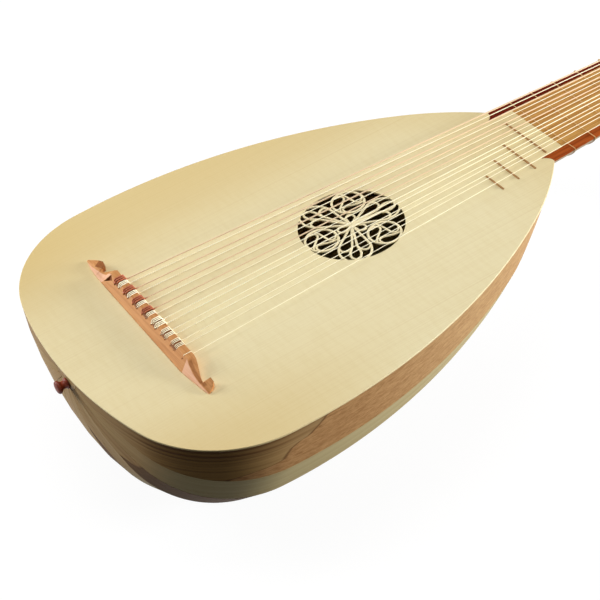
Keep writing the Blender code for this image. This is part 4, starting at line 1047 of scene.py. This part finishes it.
def string_route(number, diameter, bridge_middle, nut_middle):
    """A string from its knot over the nut to its windings on the peg, in the lute's frame."""
    radius = diameter / 2.0
    lift = radius + STRING_SEAT
    fall = NUT_FALL / (NUT_LENGTH - NUT_FLAT)
    corner = NUT_SLOT_FLOOR - fall * (NUT_LENGTH - NUT_FLAT)
    back = STRING_LENGTH + NUT_LENGTH
    route = tie_route(bridge_middle, radius, number == 0)
    clear = 2.0 * STRING_SEAT
    route.append(Vector((nut_middle, STRING_LENGTH + NUT_FLAT, NUT_SLOT_FLOOR + lift + clear)))
    route.append(Vector((nut_middle, back + 0.2 * lift, corner + 1.1 * lift + clear)))
    leave = Vector((nut_middle, back + 1.2 * lift + clear, corner - 0.2 * lift))
    route.append(leave)
    local = PEGBOX_TURN.inverted() @ (leave - pegbox_origin())
    start = Vector((local.y, -local.z))
    place = peg_place(number)
    inside = (pegbox_half_width(place) - CHEEK_THICKNESS) / (pegbox_half_width(0.0) - CHEEK_THICKNESS)
    across = nut_middle * STRING_DRAW_IN * inside
    ring = peg_radius(number, across) + lift
    centre = Vector((-PEG_DEPTH, place))
    back_way = start - centre
    turn = math.atan2(back_way.x, back_way.y) - math.acos(ring / back_way.length) - math.pi
    pitch = diameter + STRING_SEAT
    inwards = -1.0 if across > 0.0 else 1.0
    for i in range(PEG_TURNS * PEG_TURN_POINTS + 1):
        angle = turn - 2.0 * math.pi * i / PEG_TURN_POINTS
        out = centre.x - ring * math.sin(angle)
        along = centre.y - ring * math.cos(angle)
        route.append(from_pegbox(across + inwards * pitch * i / PEG_TURN_POINTS, out, along))
    return route


def cord_piece(name, points, radius, finish_name, node, body, closed=False):
    """A round cord through points of the lute's frame."""
    curve = bpy.data.curves.new(name, "CURVE")
    curve.dimensions = "3D"
    curve.bevel_depth = radius
    curve.bevel_resolution = 3
    curve.use_fill_caps = not closed
    spline = curve.splines.new("POLY")
    spline.points.add(len(points) - 1)
    spline.use_cyclic_u = closed
    for i, point in enumerate(points):
        spline.points[i].co = (*(REST @ point), 1.0)
    bent = placed(name, curve)
    seen = bent.evaluated_get(bpy.context.evaluated_depsgraph_get())
    bm = bmesh.new()
    bm.from_mesh(seen.to_mesh())
    seen.to_mesh_clear()
    bpy.data.objects.remove(bent)
    bmesh.ops.remove_doubles(bm, verts=bm.verts, dist=1e-6)
    bmesh.ops.recalc_face_normals(bm, faces=bm.faces)
    return piece(name, bm, finish_name, (node,), body, crisp=60.0, at_rest=True)


def make_strings():
    """Fifteen strings, plain gut for the thin ones and loaded gut for the thick ones."""
    for number, (name, diameter, bridge_middle, nut_middle) in enumerate(course_strings()):
        look = "loaded_gut" if diameter > LOADED_FROM else "gut"
        route = string_route(number, diameter, bridge_middle, nut_middle)
        cord_piece(f"{name}_drawn", route, diameter / 2.0, look, name, "lute")


def make_tied_frets():
    """Gut frets tied round the neck, with a knot at the bass side."""
    for number in range(1, TIED_FRETS + 1):
        share = (number - 1) / (TIED_FRETS - 1)
        first, last = FRET_DIAMETERS
        radius = (first + (last - first) * share) / 2.0 - FRET_SLIMMER
        place = fret_place(number)
        edge = neck_half_width(place)
        off = radius + FRET_CLEARANCE
        top = [Vector((-edge - off, place, -0.0012)), Vector((-edge - off, place, 0.0)),
               Vector((-edge - off * 0.7, place, off * 0.7)), Vector((-edge, place, off)),
               Vector((edge, place, off)), Vector((edge + off * 0.7, place, off * 0.7)),
               Vector((edge + off, place, 0.0)), Vector((edge + off, place, -0.0012))]
        name = f"tied_fret_{number}"
        loop = top + neck_section(place, off)
        cord_piece(f"{name}_gut", loop, radius, "fret_gut", name, name, closed=True)
        bm = bmesh.new()
        bmesh.ops.create_icosphere(bm, subdivisions=2, radius=radius * FRET_KNOT_SWELL)
        bmesh.ops.scale(bm, vec=(1.0, 1.5, 1.0), verts=bm.verts)
        bmesh.ops.translate(bm, vec=(-edge - off, place, -0.0004), verts=bm.verts)
        piece(f"{name}_knot", bm, "fret_gut", body=name, crisp=60.0)


def peg_stations(number):
    """Sections of a peg from its tip to the end of its flat head.

    Each is a place along the peg from the pegbox's middle, a half-width and a half-thickness.
    """
    side = peg_side(number)
    half = pegbox_half_width(peg_place(number))
    tip = -half - PEG_TIP
    collar = half + PEG_COLLAR
    stations = [(tip, 0.0021, 0.0021), (tip + 0.0004, 0.0026, 0.0026)]
    for along in (tip + 0.0010, collar - 0.0012):
        radius = peg_radius(number, side * along)
        stations.append((along, radius, radius))
    for along, wide, thick in (
            (-0.0008, 0.0046, 0.0046), (0.0, 0.0050, 0.0050), (0.0010, 0.0050, 0.0050),
            (0.0016, 0.0046, 0.0046), (0.0022, 0.0039, 0.0036)):
        stations.append((collar + along, wide, thick))
    start = collar + PEG_NECK
    head = [Vector((start, 0.0036, 0.0031)), Vector((start + 0.12 * PEG_HEAD_LENGTH, 0.0052, 0.0034))]
    for along, wide, thick in (
            (0.27, 0.83, 1.0), (0.52, 1.0, 0.86), (0.78, 0.82, 0.72), (0.93, 0.50, 0.52), (0.985, 0.22, 0.34),
            (1.0, 0.05, 0.08)):
        head.append(Vector((start + along * PEG_HEAD_LENGTH, wide * PEG_HEAD_HALF_WIDTH,
                            thick * PEG_HEAD_HALF_THICKNESS)))
    return stations + [tuple(point) for point in smooth_line(head, 4)]


def make_pegs():
    """Tapered pegs with flat heads, alternately to the treble and the bass side."""
    turns = [2.0 * math.pi * i / PEG_SIDES for i in range(PEG_SIDES)]
    for number in range(len(course_strings())):
        rings = [[from_pegbox(peg_side(number) * along, thick * math.sin(turn) - PEG_DEPTH,
                              peg_place(number) - wide * math.cos(turn)) for turn in turns]
                 for along, wide, thick in peg_stations(number)]
        name = f"peg_{number + 1}"
        piece(f"{name}_turned", loft(rings), "peg_wood", (name,), name, crisp=40.0)


def make_end_button():
    """The turned button at the tail, as places along it and radii in shares of its length and radius."""
    shape = [Vector(pair) for pair in (
        (0.0, 0.84), (0.10, 0.86), (0.16, 0.72), (0.28, 0.62), (0.46, 0.62), (0.58, 0.76), (0.68, 0.94),
        (0.80, 1.0), (0.91, 0.90), (0.97, 0.62), (1.0, 0.12))]
    profile = [(SHANK_LENGTH, SHANK_RADIUS), (BUTTON_GAP, SHANK_RADIUS)]
    profile += [(-p.x * BUTTON_LENGTH - BUTTON_GAP, p.y * BUTTON_RADIUS) for p in smooth_line(shape, 3)]
    bm = turned(profile, 40, Vector((0.0, 1.0, 0.0)), Vector((0.0, -TAIL_DISTANCE, -BUTTON_HEIGHT)))
    piece("end_button_turned", bm, "peg_wood", ("end_button",))


def make_camera():
    azimuth = CAMERA_AZIMUTH
    level = math.cos(CAMERA_ELEVATION)
    back = Vector((math.sin(azimuth) * level, -math.cos(azimuth) * level, math.sin(CAMERA_ELEVATION)))
    right = Vector((0.0, 0.0, 1.0)).cross(back).normalized()
    up = back.cross(right)
    cos, sin = math.cos(CAMERA_ROLL), math.sin(CAMERA_ROLL)
    turn = Matrix((cos * right + sin * up, cos * up - sin * right, back)).transposed().to_4x4()
    data = bpy.data.cameras.new("camera")
    data.lens = CAMERA_LENS
    data.sensor_width = SENSOR_WIDTH
    data.clip_start = 0.01
    camera = placed("camera", data)
    camera.matrix_world = REST @ Matrix.Translation(CAMERA_PLACE) @ turn
    bpy.context.scene.camera = camera


def make_lamp(name, place, size, power):
    data = bpy.data.lights.new(name, "AREA")
    data.size = size
    data.energy = power
    lamp = placed(name, data)
    lamp.location = place
    way = Vector(LAMP_TARGET) - Vector(place)
    lamp.rotation_euler = way.to_track_quat("-Z", "Y").to_euler()


def seen_by(tree, *rays):
    """1 for rays of these kinds, such as the camera's, and 0 for the light's."""
    path = tree.nodes.new("ShaderNodeLightPath")
    first, *others = (Wire(tree, path.outputs[f"Is {ray} Ray"]) for ray in rays)
    for other in others:
        first = first.sum("MAXIMUM", other)
    return first


def emptied(holder):
    """The shader tree of a world or a material, without the nodes that it starts with."""
    holder.use_nodes = True
    holder.node_tree.nodes.clear()
    return holder.node_tree


def make_studio():
    """A pale floor, a white surround that only the camera and reflections see, and soft lamps."""
    white = (1.0, 1.0, 1.0, 1.0)
    world = bpy.data.worlds.new("studio")
    bpy.context.scene.world = world
    tree = emptied(world)
    wire = Wire(tree)
    soft = wire.node("Background", {"Color": white, "Strength": SOFT_WORLD})
    bright = wire.node("Background", {"Color": white, "Strength": 1.0})
    mixed = wire.node("MixShader", {0: seen_by(tree, "Camera", "Glossy", "Transmission"), 1: soft, 2: bright})
    wire.node("OutputWorld", {"Surface": mixed})
    floor_look = bpy.data.materials.new("floor")
    tree = emptied(floor_look)
    wire = Wire(tree)
    glow = wire.node("Emission", {"Color": white, "Strength": seen_by(tree, "Camera", "Glossy") * FLOOR_GLOW})
    paint = wire.node("BsdfDiffuse", {"Color": (FLOOR_GREY, FLOOR_GREY, FLOOR_GREY, 1.0)})
    wire.node("OutputMaterial", {"Surface": wire.node("AddShader", {0: glow, 1: paint})})
    bm = bmesh.new()
    bmesh.ops.create_grid(bm, x_segments=1, y_segments=1, size=6.0)
    mesh = mesh_of("floor", bm)
    mesh.materials.append(floor_look)
    floor = placed("floor", mesh)
    for name, (place, size, power) in LAMPS.items():
        make_lamp(name, place, size, power)
    bpy.context.scene.view_settings.view_transform = "Standard"


make_camera()
make_soundboard()
make_rose()
make_body_frets()
make_ribs()
make_neck()
make_bridge()
make_strings()
make_tied_frets()
make_pegs()
make_end_button()
make_studio()
